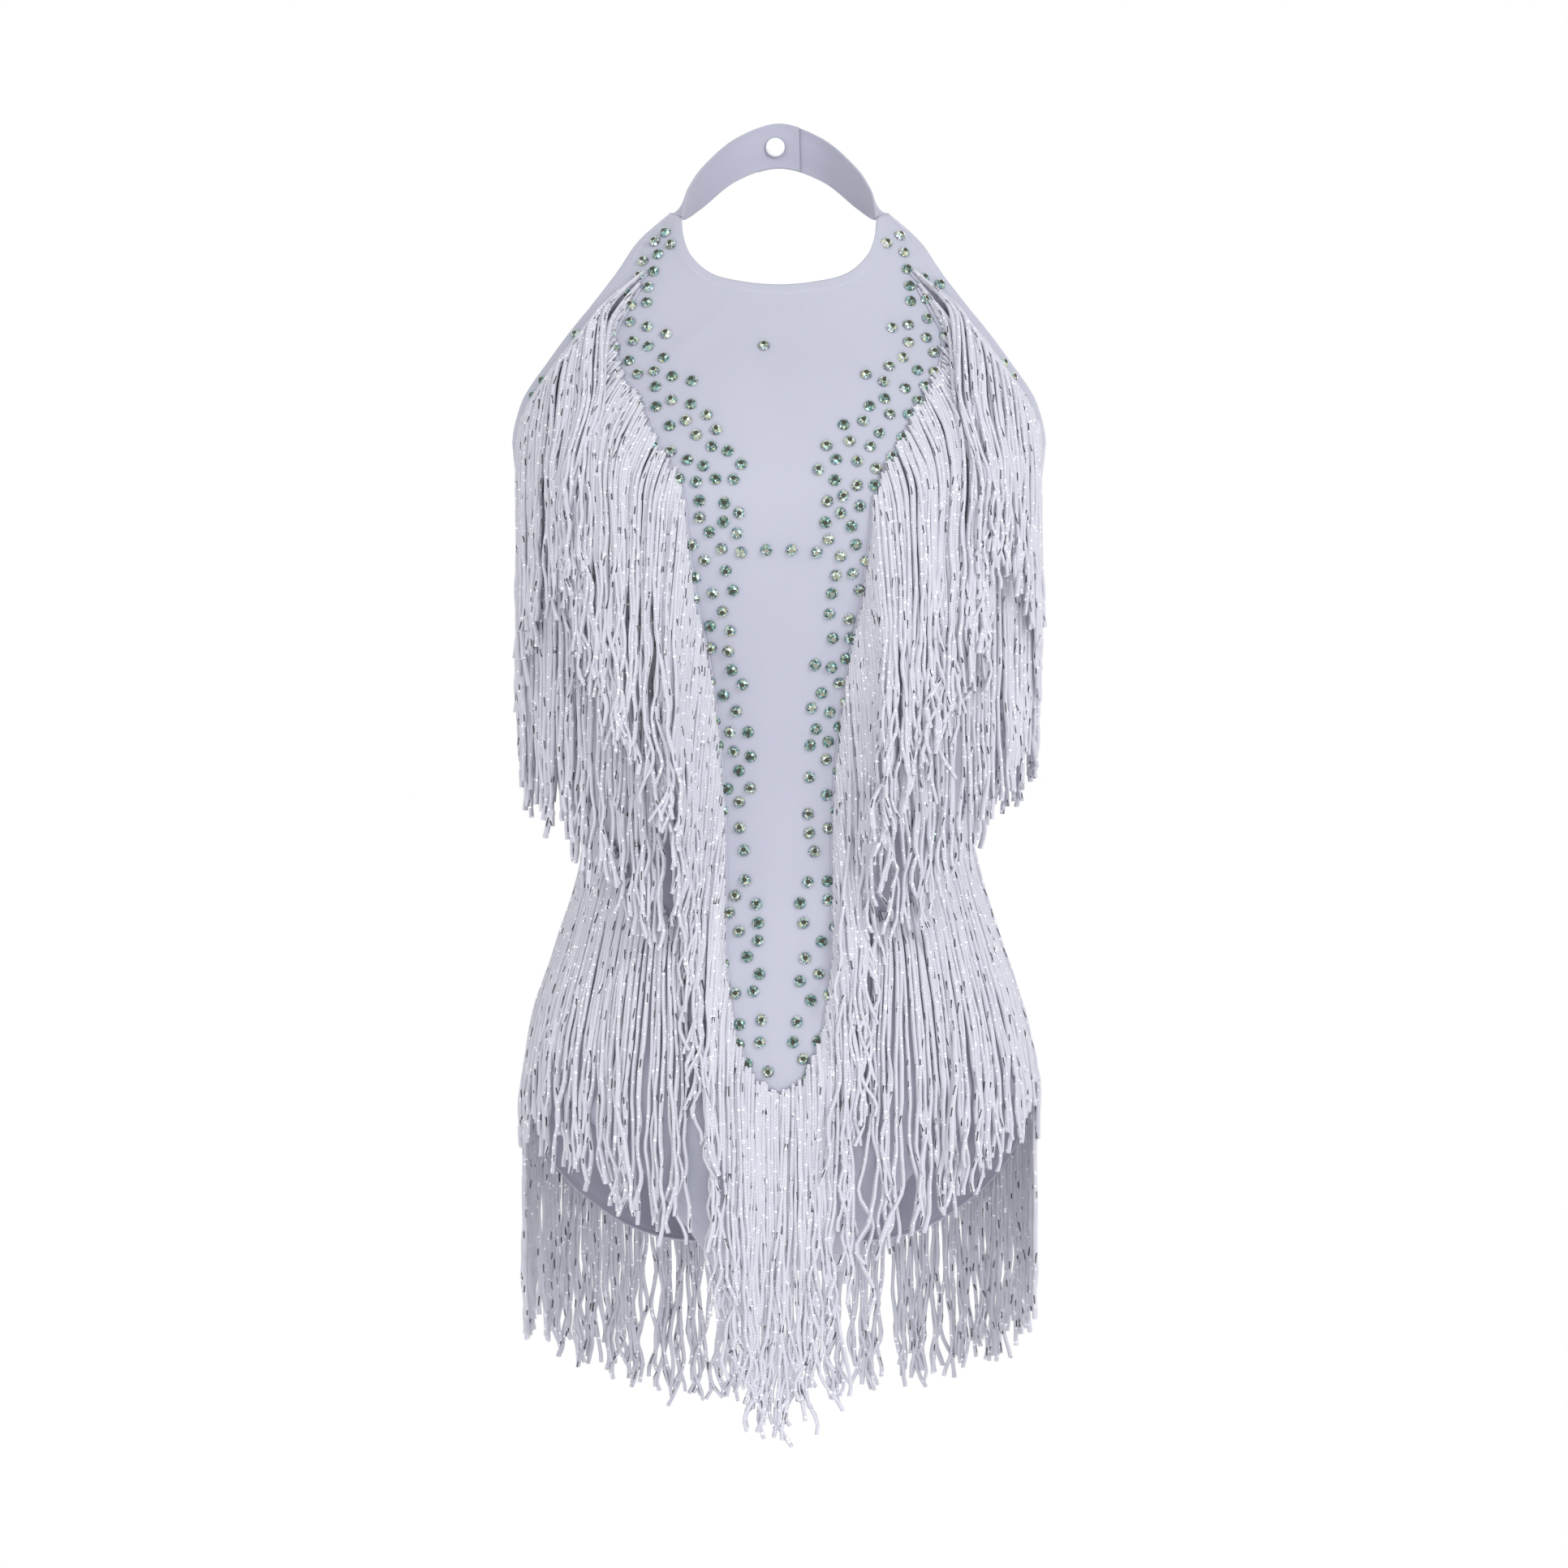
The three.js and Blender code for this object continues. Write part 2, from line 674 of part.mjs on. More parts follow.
const capInner = addPiece("snap_cap_inner", snapCap(), colors.snap, 0.35);
capInner.rotation.z = Math.PI;
capInner.position.set(snapPlace.x, -seamGap - snapRelief, snapPlace.z);
const capOuter = addPiece("snap_cap_outer", snapCap(), colors.snap, 0.35);
capOuter.position.set(snapPlace.x, 2 * (bandThickness + seamGap), snapPlace.z);

for (const [name, row] of Object.entries(fringeRows)) {
  addPiece(`${name}_right`, fringe(row, 1), colors.fringe, 0.6);
  addPiece(`${name}_left`, fringe(row, -1), colors.fringe, 0.6);
}

export default garment;
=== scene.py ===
import math

import bmesh
import bpy
import numpy as np
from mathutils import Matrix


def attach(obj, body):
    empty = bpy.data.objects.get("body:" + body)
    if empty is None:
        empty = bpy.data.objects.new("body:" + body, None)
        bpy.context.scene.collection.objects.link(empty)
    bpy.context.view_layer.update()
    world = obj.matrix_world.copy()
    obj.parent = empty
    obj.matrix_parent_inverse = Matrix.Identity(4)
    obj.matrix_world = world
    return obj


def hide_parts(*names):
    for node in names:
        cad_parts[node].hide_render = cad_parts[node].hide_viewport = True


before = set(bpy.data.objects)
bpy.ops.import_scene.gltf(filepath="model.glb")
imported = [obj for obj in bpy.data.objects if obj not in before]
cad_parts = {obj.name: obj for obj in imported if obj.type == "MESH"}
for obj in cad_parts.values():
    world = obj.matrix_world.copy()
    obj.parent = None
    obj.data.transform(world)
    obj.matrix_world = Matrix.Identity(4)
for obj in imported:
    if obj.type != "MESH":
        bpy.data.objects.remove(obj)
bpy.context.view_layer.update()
print("frame loaded:", len(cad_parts), "nodes")


# the body form, which every piece is laid on
bodyForm = {
    "sideLine": -0.055,  # plane of the side seams
    "squareness": 2.2,  # of a section: 2 is an ellipse
    "underarm": -0.190,
    # height, half width, depth before and behind the side line
    "levels": [
        (-0.045, 0.062, 0.035, 0.040),
        (-0.056, 0.076, 0.039, 0.048),
        (-0.068, 0.092, 0.043, 0.055),
        (-0.090, 0.118, 0.051, 0.062),
        (-0.112, 0.138, 0.061, 0.068),
        (-0.132, 0.150, 0.072, 0.074),
        (-0.160, 0.161, 0.088, 0.080),
        (-0.190, 0.164, 0.101, 0.085),
        (-0.230, 0.158, 0.111, 0.087),
        (-0.278, 0.142, 0.104, 0.085),
        (-0.340, 0.123, 0.089, 0.081),
        (-0.408, 0.113, 0.080, 0.080),
        (-0.450, 0.119, 0.083, 0.088),
        (-0.493, 0.132, 0.089, 0.101),
        (-0.545, 0.149, 0.095, 0.117),
        (-0.592, 0.157, 0.097, 0.124),
        (-0.630, 0.157, 0.091, 0.122),
        (-0.660, 0.155, 0.077, 0.110),
        (-0.684, 0.150, 0.052, 0.086),
        (-0.696, 0.146, 0.027, 0.050),
    ],
    "cupTurn": 40,  # degrees from the centre front
    "cupHeight": -0.236,
    "cupReachTurn": 24,
    "cupReachHeight": 0.044,
    "cupDepth": 0.008,
    # height, half span of the front at its armhole edge
    "armhole": [
        (-0.0515, 0.068),
        (-0.068, 0.0854),
        (-0.089, 0.0988),
        (-0.111, 0.115),
        (-0.130, 0.130),
        (-0.148, 0.143),
        (-0.164, 0.1546),
        (-0.177, 0.160),
        (-0.190, 0.1636),
    ],
}


def curveThrough(places, values):
    # smooth curve through the values at those places, flat beyond its ends
    order = np.argsort(places)
    places = np.asarray(places, float)[order]
    values = np.asarray(values, float)[order]
    last = len(places) - 1
    before = np.maximum(np.arange(last + 1) - 1, 0)
    after = np.minimum(np.arange(last + 1) + 1, last)
    slopes = (values[after] - values[before]) / (places[after] - places[before])

    def valueAt(at):
        at = np.clip(np.asarray(at, float), places[0], places[-1])
        i = np.clip(np.searchsorted(places, at, side="right") - 1, 0, last - 1)
        span = places[i + 1] - places[i]
        t = (at - places[i]) / span
        rise = values[i + 1] - values[i]
        start = slopes[i] * span
        end = slopes[i + 1] * span
        return values[i] + t * (start + t * (3 * rise - 2 * start - end + t * (start + end - 2 * rise)))

    return valueAt


levelColumns = list(zip(*bodyForm["levels"]))
halfWidthAt = curveThrough(levelColumns[0], levelColumns[1])
frontDepthAt = curveThrough(levelColumns[0], levelColumns[2])
backDepthAt = curveThrough(levelColumns[0], levelColumns[3])
armholeSpanAt = curveThrough(*zip(*bodyForm["armhole"]))


def formRadius(turn, height):
    # distance from the body's axis, turn radians round from the centre front
    square = bodyForm["squareness"]
    depth = np.where(np.cos(turn) >= 0, frontDepthAt(height), backDepthAt(height))
    across = np.abs(np.sin(turn)) / halfWidthAt(height)
    along = np.abs(np.cos(turn)) / depth
    radius = (across**square + along**square) ** (-1 / square)
    aside = (np.abs(np.degrees(turn)) - bodyForm["cupTurn"]) / bodyForm["cupReachTurn"]
    above = (height - bodyForm["cupHeight"]) / bodyForm["cupReachHeight"]
    swell = bodyForm["cupDepth"] * np.exp(-(aside**2) - above**2)
    return np.where(np.cos(turn) > 0, radius + swell, radius)


def plumbPoint(turn, height, radius):
    x, y = radius * np.sin(turn), bodyForm["sideLine"] - radius * np.cos(turn)
    return np.stack([x, y, height + 0 * turn], axis=-1)


def formNormal(turn, height):
    turnStep, heightStep = 0.002, 0.00025

    def onForm(turn, height):
        return plumbPoint(turn, height, formRadius(turn, height))

    across = onForm(turn + turnStep, height) - onForm(turn - turnStep, height)
    up = onForm(turn, height + heightStep) - onForm(turn, height - heightStep)
    normal = np.cross(across, up)
    return normal / np.linalg.norm(normal, axis=-1, keepdims=True)


def formPoint(turn, height, out=0.0):
    point = plumbPoint(turn, height, formRadius(turn, height))
    return point + formNormal(turn, height) * np.asarray(out)[..., None]


def spanAt(phi, height):
    return halfWidthAt(height) * np.sin(phi) ** (2 / bodyForm["squareness"])


def phiAtSpan(span, height):
    return np.arcsin(np.minimum(span / halfWidthAt(height), 1) ** (bodyForm["squareness"] / 2))


def turnAt(phi, height, depthAt):
    span = np.sign(phi) * spanAt(np.abs(phi), height)
    depth = depthAt(height) * np.cos(phi) ** (2 / bodyForm["squareness"])
    return np.arctan2(span, depth)


def turnAtSpan(span, height, onBack=False):
    # turn at that distance aside of the centre line
    low, high = np.zeros_like(span), np.full_like(span, math.pi / 2)
    for _ in range(40):
        middle = (low + high) / 2
        turn = math.pi - middle if onBack else middle
        inside = formRadius(turn, height) * np.sin(middle) < np.abs(span)
        low, high = np.where(inside, middle, low), np.where(inside, high, middle)
    found = np.sign(span) * (low + high) / 2
    return math.pi - found if onBack else found


def smoothStep(value, low, high):
    t = np.clip((value - low) / (high - low), 0, 1)
    return t * t * (3 - 2 * t)


fullTurn = 6.2832


def feed(tree, sockets, inputs):
    # inputs are values or the sockets to link, by name or place
    for key, value in inputs.items():
        if isinstance(value, bpy.types.NodeSocket):
            tree.links.new(value, sockets[key])
        else:
            sockets[key].default_value = value


def addNode(tree, kind, inputs=None, **settings):
    made = tree.nodes.new(kind)
    for name, value in settings.items():
        setattr(made, name, value)
    feed(tree, made.inputs, inputs or {})
    return made


def calc(tree, operation, *values, clamp=False):
    inputs = dict(enumerate(values))
    return addNode(tree, "ShaderNodeMath", inputs, operation=operation, use_clamp=clamp).outputs[0]


def mixColor(tree, share, first, second, blend="MIX"):
    isLinked = lambda color: isinstance(color, bpy.types.NodeSocket)
    first, second = (color if isLinked(color) else (*color, 1) for color in (first, second))
    inputs = {"Factor": share, 6: first, 7: second}
    return addNode(tree, "ShaderNodeMix", inputs, data_type="RGBA", blend_type=blend).outputs[2]


def colorRamp(tree, value, stops):
    made = addNode(tree, "ShaderNodeValToRGB", {0: value})
    ramp = made.color_ramp
    while len(ramp.elements) < len(stops):
        ramp.elements.new(0.5)
    for element, (position, color) in zip(ramp.elements, stops):
        element.position = position
        element.color = (*color, 1)
    return made.outputs["Color"]


def nodeGroup(name, kind, inputs, outputs):
    # inputs are (name, socket kind, default value), outputs are (name, socket kind)
    tree = bpy.data.node_groups.new(name, kind)
    for label, socket, default in inputs:
        made = tree.interface.new_socket(label, in_out="INPUT", socket_type=socket)
        if default is not None:
            made.default_value = default
    for label, socket in outputs:
        tree.interface.new_socket(label, in_out="OUTPUT", socket_type=socket)
    return tree, tree.nodes.new("NodeGroupInput").outputs, tree.nodes.new("NodeGroupOutput").inputs


def addObject(name, data):
    made = bpy.data.objects.new(name, data)
    bpy.context.scene.collection.objects.link(made)
    return made


def storeValues(mesh, name, values, kind="FLOAT"):
    # an attribute with a number or a vector for each point
    layer = mesh.attributes.new(name, kind, "POINT")
    field = "value" if kind == "FLOAT" else "vector"
    layer.data.foreach_set(field, np.asarray(values).astype(np.float32).ravel())


def newMaterial(name):
    material = bpy.data.materials.new(name)
    material.use_nodes = True
    tree = material.node_tree
    return material, tree, tree.nodes["Principled BSDF"]


def bumpy(tree, shader, height, strength, depth):
    bump = addNode(tree, "ShaderNodeBump", {"Height": height, "Strength": strength, "Distance": depth})
    tree.links.new(bump.outputs[0], shader.inputs["Normal"])


def useGroup(tree, group, inputs):
    return addNode(tree, "ShaderNodeGroup", inputs, node_tree=group).outputs


satinFinish = {
    "face": (0.475, 0.485, 0.575),
    "shade": (0.430, 0.440, 0.535),
    # face of the neck band: the satin's colour darkened, painted shade
    "bandShadedFace": (0.425, 0.425, 0.520),
    "threadPitch": 0.00055,
    "mottleSize": 0.06,
    "grainScale": 900.0,
    "roughSpread": 0.16,
    "mottleShare": 0.8,
    "grainShare": 0.3,
    "bumpStrength": 0.35,
    "bumpDepth": 0.00025,
}


def knitGroup():
    # fine stretch knit: a height and a light mottle, on the cloth's own map in metres
    tree, given, result = nodeGroup(
        "stretchKnit",
        "ShaderNodeTree",
        [("Thread Pitch", "NodeSocketFloat", 0.0006), ("Mottle Size", "NodeSocketFloat", 0.05)],
        [("Height", "NodeSocketFloat"), ("Mottle", "NodeSocketFloat"), ("Glint", "NodeSocketFloat")],
    )
    flat = addNode(tree, "ShaderNodeUVMap", uv_map="clothMap").outputs[0]
    axes = addNode(tree, "ShaderNodeSeparateXYZ", {0: flat}).outputs
    turns = calc(tree, "DIVIDE", fullTurn, given["Thread Pitch"])
    across = calc(tree, "SINE", calc(tree, "MULTIPLY", axes[0], turns))
    along = calc(tree, "SINE", calc(tree, "MULTIPLY", axes[1], turns))
    loops = calc(tree, "MULTIPLY", across, along)
    place = addNode(tree, "ShaderNodeTexCoord").outputs["Object"]
    size = calc(tree, "DIVIDE", 1.0, given["Mottle Size"])
    mottle = addNode(tree, "ShaderNodeTexNoise", {"Vector": place, "Scale": size, "Detail": 3.0}).outputs[0]
    grainInputs = {"Vector": place, "Scale": satinFinish["grainScale"], "Detail": 2.0}
    grain = addNode(tree, "ShaderNodeTexNoise", grainInputs).outputs[0]
    height = calc(tree, "ADD", calc(tree, "MULTIPLY", loops, 0.5), grain)
    tree.links.new(height, result["Height"])
    tree.links.new(mottle, result["Mottle"])
    tree.links.new(grain, result["Glint"])
    return tree


stretchKnit = knitGroup()


def satinMaterial(name, face, shade, roughness, sheen):
    material, tree, shader = newMaterial(name)
    pitch, mottleSize = satinFinish["threadPitch"], satinFinish["mottleSize"]
    knit = useGroup(tree, stretchKnit, {"Thread Pitch": pitch, "Mottle Size": mottleSize})
    mottle = calc(tree, "MULTIPLY", knit["Mottle"], satinFinish["mottleShare"])
    grain = calc(tree, "MULTIPLY", knit["Glint"], satinFinish["grainShare"])
    spread = satinFinish["roughSpread"]
    rough = calc(tree, "ADD", roughness - spread / 2, calc(tree, "MULTIPLY", knit["Glint"], spread))
    look = {
        "Base Color": mixColor(tree, calc(tree, "ADD", mottle, grain), shade, face),
        "Roughness": rough,
        "Sheen Weight": sheen,
        "Sheen Roughness": 0.4,
        "Specular IOR Level": 0.35,
    }
    feed(tree, shader.inputs, look)
    bumpy(tree, shader, knit["Height"], satinFinish["bumpStrength"], satinFinish["bumpDepth"])
    return material


satin = satinMaterial("satin", satinFinish["face"], satinFinish["shade"], 0.5, 0.25)
# the neck band's satin: the same satin with a darker face, painted shade, and a rougher finish with less
# sheen
shadedBandSatin = satinMaterial("shadedBandSatin", satinFinish["bandShadedFace"], satinFinish["shade"], 0.6, 0.15)

cordFinish = {
    "yarn": (0.83, 0.835, 0.885),
    # colour of the painted shade in the braid's grooves
    "paintedGrooveShade": (0.48, 0.485, 0.57),
    # near black of the painted dark reflections on the foil thread
    "paintedDarkReflection": (0.012, 0.013, 0.022),
    # white of the painted glints on the foil thread
    "paintedGlint": (0.97, 0.975, 1.0),
    "stitchPitch": 0.0011,
    "dashCell": 0.013,
    "dashShare": 0.46,
    "glintCell": 0.0015,
    "glintShare": 0.10,
    # faint glow of the painted glints
    "paintedGlintGlow": (0.2, 0.2, 0.21),
    "toneShade": (0.80, 0.805, 0.87),
    "roughness": 0.55,
    "foilSmoother": 0.35,
    "sheen": 0.2,
    "bumpStrength": 0.6,
    "bumpDepth": 0.0004,
}


def braidGroup():
    # braided yarn with a foil thread, read from the cord's own attributes, with painted shade in its
    # grooves, painted glints and painted dark reflections
    tree, given, result = nodeGroup(
        "braidedCord",
        "ShaderNodeTree",
        [
            ("Stitch Pitch", "NodeSocketFloat", 0.001),
            ("Dash Cell", "NodeSocketFloat", 0.013),
            ("Dash Share", "NodeSocketFloat", 0.25),
            ("Glint Cell", "NodeSocketFloat", 0.0026),
            ("Glint Share", "NodeSocketFloat", 0.1),
        ],
        [
            ("Height", "NodeSocketFloat"),
            ("Braid Shading", "NodeSocketFloat"),
            ("Painted Dark Reflection", "NodeSocketFloat"),
            ("Painted Glint", "NodeSocketFloat"),
            ("Tone", "NodeSocketFloat"),
        ],
    )
    along = addNode(tree, "ShaderNodeAttribute", attribute_name="along").outputs["Fac"]
    across = addNode(tree, "ShaderNodeAttribute", attribute_name="across").outputs["Fac"]
    seed = addNode(tree, "ShaderNodeAttribute", attribute_name="cordSeed").outputs["Fac"]

    # herringbone: stitches slant down to both sides of the middle; the grooves between stitches and the
    # middle line take painted shade
    slant = calc(tree, "MULTIPLY", calc(tree, "ABSOLUTE", across), 1.1)
    turns = calc(tree, "ADD", calc(tree, "DIVIDE", along, given["Stitch Pitch"]), slant)
    wave = calc(tree, "SINE", calc(tree, "MULTIPLY", turns, fullTurn))
    braid = calc(tree, "MULTIPLY_ADD", wave, 0.5, 0.5)
    fromMiddle = calc(tree, "MULTIPLY", calc(tree, "ABSOLUTE", across), 4.0)
    middle = calc(tree, "SUBTRACT", 1.0, fromMiddle, clamp=True)
    tree.links.new(calc(tree, "SUBTRACT", braid, calc(tree, "MULTIPLY", middle, 0.6)), result["Height"])
    # the middle line of the cord is painted darker, as shade in its groove
    paler = calc(tree, "SUBTRACT", 1.0, calc(tree, "MULTIPLY", middle, 0.4))
    tree.links.new(calc(tree, "MULTIPLY", braid, paler), result["Braid Shading"])

    # painted dark reflections of the foil thread: near-black stretches, at most one in each cell of the
    # cord's length
    cells = calc(tree, "DIVIDE", along, given["Dash Cell"])
    cell = calc(tree, "ADD", cells, calc(tree, "MULTIPLY", seed, 91.7))
    whole, part = calc(tree, "FLOOR", cell), calc(tree, "FRACT", cell)
    cordPlace = calc(tree, "MULTIPLY", seed, 613.0)
    cellPlace = addNode(tree, "ShaderNodeCombineXYZ", {0: whole, 1: cordPlace}).outputs[0]
    chance = addNode(tree, "ShaderNodeTexWhiteNoise", {"Vector": cellPlace}, noise_dimensions="3D").outputs
    parts = addNode(tree, "ShaderNodeSeparateColor", {0: chance["Color"]}).outputs
    there = calc(tree, "LESS_THAN", chance["Value"], given["Dash Share"])
    reach = calc(tree, "MULTIPLY_ADD", parts[0], 0.26, 0.13)
    inCell = calc(tree, "SUBTRACT", part, 0.5)
    inLength = calc(tree, "LESS_THAN", calc(tree, "ABSOLUTE", inCell), reach)
    lean = calc(tree, "MULTIPLY", inCell, calc(tree, "MULTIPLY_ADD", parts[1], 3.0, -1.5))
    line = calc(tree, "MULTIPLY_ADD", parts[2], 1.1, calc(tree, "ADD", lean, -0.55))
    fromLine = calc(tree, "ABSOLUTE", calc(tree, "SUBTRACT", across, line))
    inWidth = calc(tree, "LESS_THAN", fromLine, 0.25)
    paintedDarkDash = calc(tree, "MULTIPLY", inLength, inWidth)
    tree.links.new(calc(tree, "MULTIPLY", there, paintedDarkDash), result["Painted Dark Reflection"])

    # painted glints: bright white spots of the foil thread, painted as highlights
    axes = {
        0: calc(tree, "DIVIDE", along, given["Glint Cell"]),
        1: calc(tree, "MULTIPLY", across, 1.3),
        2: calc(tree, "MULTIPLY", seed, 377.0),
    }
    spot = addNode(tree, "ShaderNodeCombineXYZ", axes).outputs[0]
    grains = addNode(tree, "ShaderNodeTexVoronoi", {"Vector": spot, "Scale": 1.0}, feature="F1")
    draw = addNode(tree, "ShaderNodeSeparateColor", {0: grains.outputs["Color"]}).outputs[0]
    chosen = calc(tree, "LESS_THAN", draw, given["Glint Share"])
    near = calc(tree, "LESS_THAN", grains.outputs["Distance"], 0.42)
    tree.links.new(calc(tree, "MULTIPLY", chosen, near), result["Painted Glint"])

    # cords differ in tone, and each a little along its length
    at = calc(tree, "MULTIPLY_ADD", along, 60.0, calc(tree, "MULTIPLY", seed, 500.0))
    toneNoise = addNode(tree, "ShaderNodeTexNoise", {"W": at}, noise_dimensions="1D").outputs[0]
    tone = calc(tree, "MULTIPLY_ADD", seed, 0.5, calc(tree, "MULTIPLY", toneNoise, 0.5))
    tree.links.new(tone, result["Tone"])
    return tree


braidedCord = braidGroup()


def cordMaterial():
    material, tree, shader = newMaterial("chainette")
    settings = {
        "Stitch Pitch": cordFinish["stitchPitch"],
        "Dash Cell": cordFinish["dashCell"],
        "Dash Share": cordFinish["dashShare"],
        "Glint Cell": cordFinish["glintCell"],
        "Glint Share": cordFinish["glintShare"],
    }
    braid = useGroup(tree, braidedCord, settings)
    # painted shade: the braid's grooves take the darker colour
    yarn = mixColor(tree, braid["Braid Shading"], cordFinish["paintedGrooveShade"], cordFinish["yarn"])
    share = calc(tree, "MULTIPLY", braid["Tone"], 0.5)
    toned = mixColor(tree, share, yarn, cordFinish["toneShade"], "MULTIPLY")
    # painted glints whiten the cord
    lit = mixColor(tree, braid["Painted Glint"], toned, cordFinish["paintedGlint"])
    # mask of both the painted glints and the painted dark reflections, made smoother there
    foil = calc(tree, "MAXIMUM", braid["Painted Glint"], braid["Painted Dark Reflection"])
    smoother = calc(tree, "MULTIPLY", foil, cordFinish["foilSmoother"])
    look = {
        # painted dark reflections of the foil turn the cord near black
        "Base Color": mixColor(tree, braid["Painted Dark Reflection"], lit, cordFinish["paintedDarkReflection"]),
        "Roughness": calc(tree, "SUBTRACT", cordFinish["roughness"], smoother),
        # the painted glints also glow a little
        "Emission Color": mixColor(tree, braid["Painted Glint"], (0.0, 0.0, 0.0), cordFinish["paintedGlintGlow"]),
        "Emission Strength": 1.0,
        "Sheen Weight": cordFinish["sheen"],
    }
    feed(tree, shader.inputs, look)
    bumpy(tree, shader, braid["Height"], cordFinish["bumpStrength"], cordFinish["bumpDepth"])
    return material


chainette = cordMaterial()

stoneFinish = {
    "spread": 0.34,  # how far the coating shifts from stone to stone
    "filmScale": 420.0,
    "metallic": 0.6,
    "roughness": 0.08,
    "coat": 0.8,
    "coatRoughness": 0.03,
    # hues of the crystal and painted reflections: the near-white stop is a painted highlight, the darkest
    # stops are painted dark reflection
    "stops": [
        (0.0, (0.022, 0.026, 0.016)),
        (0.12, (0.078, 0.076, 0.045)),
        (0.21, (0.036, 0.080, 0.064)),
        (0.34, (0.075, 0.200, 0.170)),
        (0.47, (0.270, 0.480, 0.470)),
        (0.56, (0.880, 0.960, 0.930)),
        (0.65, (0.570, 0.600, 0.290)),
        (0.76, (0.180, 0.280, 0.400)),
        (0.87, (0.450, 0.400, 0.490)),
        (0.97, (0.110, 0.110, 0.125)),
    ],
}


def stoneMaterial():
    # cut crystal with an iridescent coating: each facet takes its own colour, the crystal's green, teal and
    # blue hues with painted reflections: dark facets, bright facets and a near-white painted highlight
    material, tree, shader = newMaterial("crystal")
    facet = addNode(tree, "ShaderNodeAttribute", attribute_name="facetHueAndPaintedReflection").outputs["Fac"]
    stone = addNode(tree, "ShaderNodeAttribute", attribute_name="stoneTone").outputs["Fac"]
    place = addNode(tree, "ShaderNodeTexCoord").outputs["Object"]
    filmInputs = {"Vector": place, "Scale": stoneFinish["filmScale"], "Detail": 1.0}
    film = addNode(tree, "ShaderNodeTexNoise", filmInputs).outputs[0]
    crown = calc(tree, "MULTIPLY", facet, 4.0, clamp=True)
    shift = calc(tree, "MULTIPLY", calc(tree, "MULTIPLY", stone, crown), stoneFinish["spread"])
    cloud = calc(tree, "MULTIPLY_ADD", film, 0.12, -0.05)
    tone = calc(tree, "ADD", facet, calc(tree, "ADD", shift, cloud))
    share = calc(tree, "FRACT", calc(tree, "MAXIMUM", tone, 0.0))
    look = {
        "Base Color": colorRamp(tree, share, stoneFinish["stops"]),
        "Metallic": stoneFinish["metallic"],
        "Roughness": stoneFinish["roughness"],
        "Coat Weight": stoneFinish["coat"],
        "Coat Roughness": stoneFinish["coatRoughness"],
    }
    feed(tree, shader.inputs, look)
    return material


crystal = stoneMaterial()


plasticFinish = {"dark": (0.80, 0.80, 0.82), "light": (0.88, 0.88, 0.90), "cloudScale": 260.0}


def plasticMaterial():
    material, tree, shader = newMaterial("snapPlastic")
    place = addNode(tree, "ShaderNodeTexCoord").outputs["Object"]
    cloudInputs = {"Vector": place, "Scale": plasticFinish["cloudScale"], "Detail": 3.0}
    cloud = addNode(tree, "ShaderNodeTexNoise", cloudInputs).outputs[0]
    look = {
        "Base Color": mixColor(tree, cloud, plasticFinish["dark"], plasticFinish["light"]),
        "Roughness": calc(tree, "MULTIPLY_ADD", cloud, 0.15, 0.28),
        "Subsurface Weight": 0.15,
        "Subsurface Radius": (0.002, 0.002, 0.002),
    }
    feed(tree, shader.inputs, look)
    bumpy(tree, shader, cloud, 0.1, 0.0002)
    return material


snapPlastic = plasticMaterial()


threadFinish = {"dark": (0.50, 0.50, 0.64), "light": (0.68, 0.68, 0.80), "plyScale": 1500.0}


def threadMaterial():
    material, tree, shader = newMaterial("sewingThread")
    place = addNode(tree, "ShaderNodeTexCoord").outputs["Object"]
    plyInputs = {"Vector": place, "Scale": threadFinish["plyScale"], "Detail": 2.0}
    ply = addNode(tree, "ShaderNodeTexNoise", plyInputs).outputs[0]
    look = {
        "Base Color": mixColor(tree, ply, threadFinish["dark"], threadFinish["light"]),
        "Roughness": calc(tree, "MULTIPLY_ADD", ply, 0.2, 0.45),
    }
    feed(tree, shader.inputs, look)
    bumpy(tree, shader, ply, 0.4, 0.0001)
    return material


sewingThread = threadMaterial()
print("finishes ready")


clothMake = {
    "thickness": 0.0011,
    "hemWidth": 0.0072,
    "hemStart": 0.86,  # shares of the hem's width between which its step lies
    "hemEnd": 1.12,
    "hemRise": 0.00045,
    "edgeRoll": 0.0012,
    "creaseFade": 0.012,  # creases die out this near a hem
    "creaseBow": 0.08,
    "seamDip": 0.0006,
    "seamReach": 0.0022,
    "underarmDrop": 0.006,  # the side seams start this far below the underarm
    "edgeCrowding": 0.72,  # share of the grid drawn in towards the edges
    "unrolled": 0.13,  # mean radius, for measuring round the body in metres
}


def edgeSpaced(count):
    # shares from 0 to 1, closer together near both ends
    even = np.linspace(0, 1, count + 1)
    crowded = 0.5 - 0.5 * np.cos(np.pi * even)
    return even + (crowded - even) * clothMake["edgeCrowding"]


def crossing(gap, low, high, shape):
    # where a gap that rises with height changes sign
    low, high = np.full(shape, low), np.full(shape, high)
    for _ in range(40):
        middle = (low + high) / 2
        below = gap(middle) < 0
        low, high = np.where(below, middle, low), np.where(below, high, middle)
    return (low + high) / 2


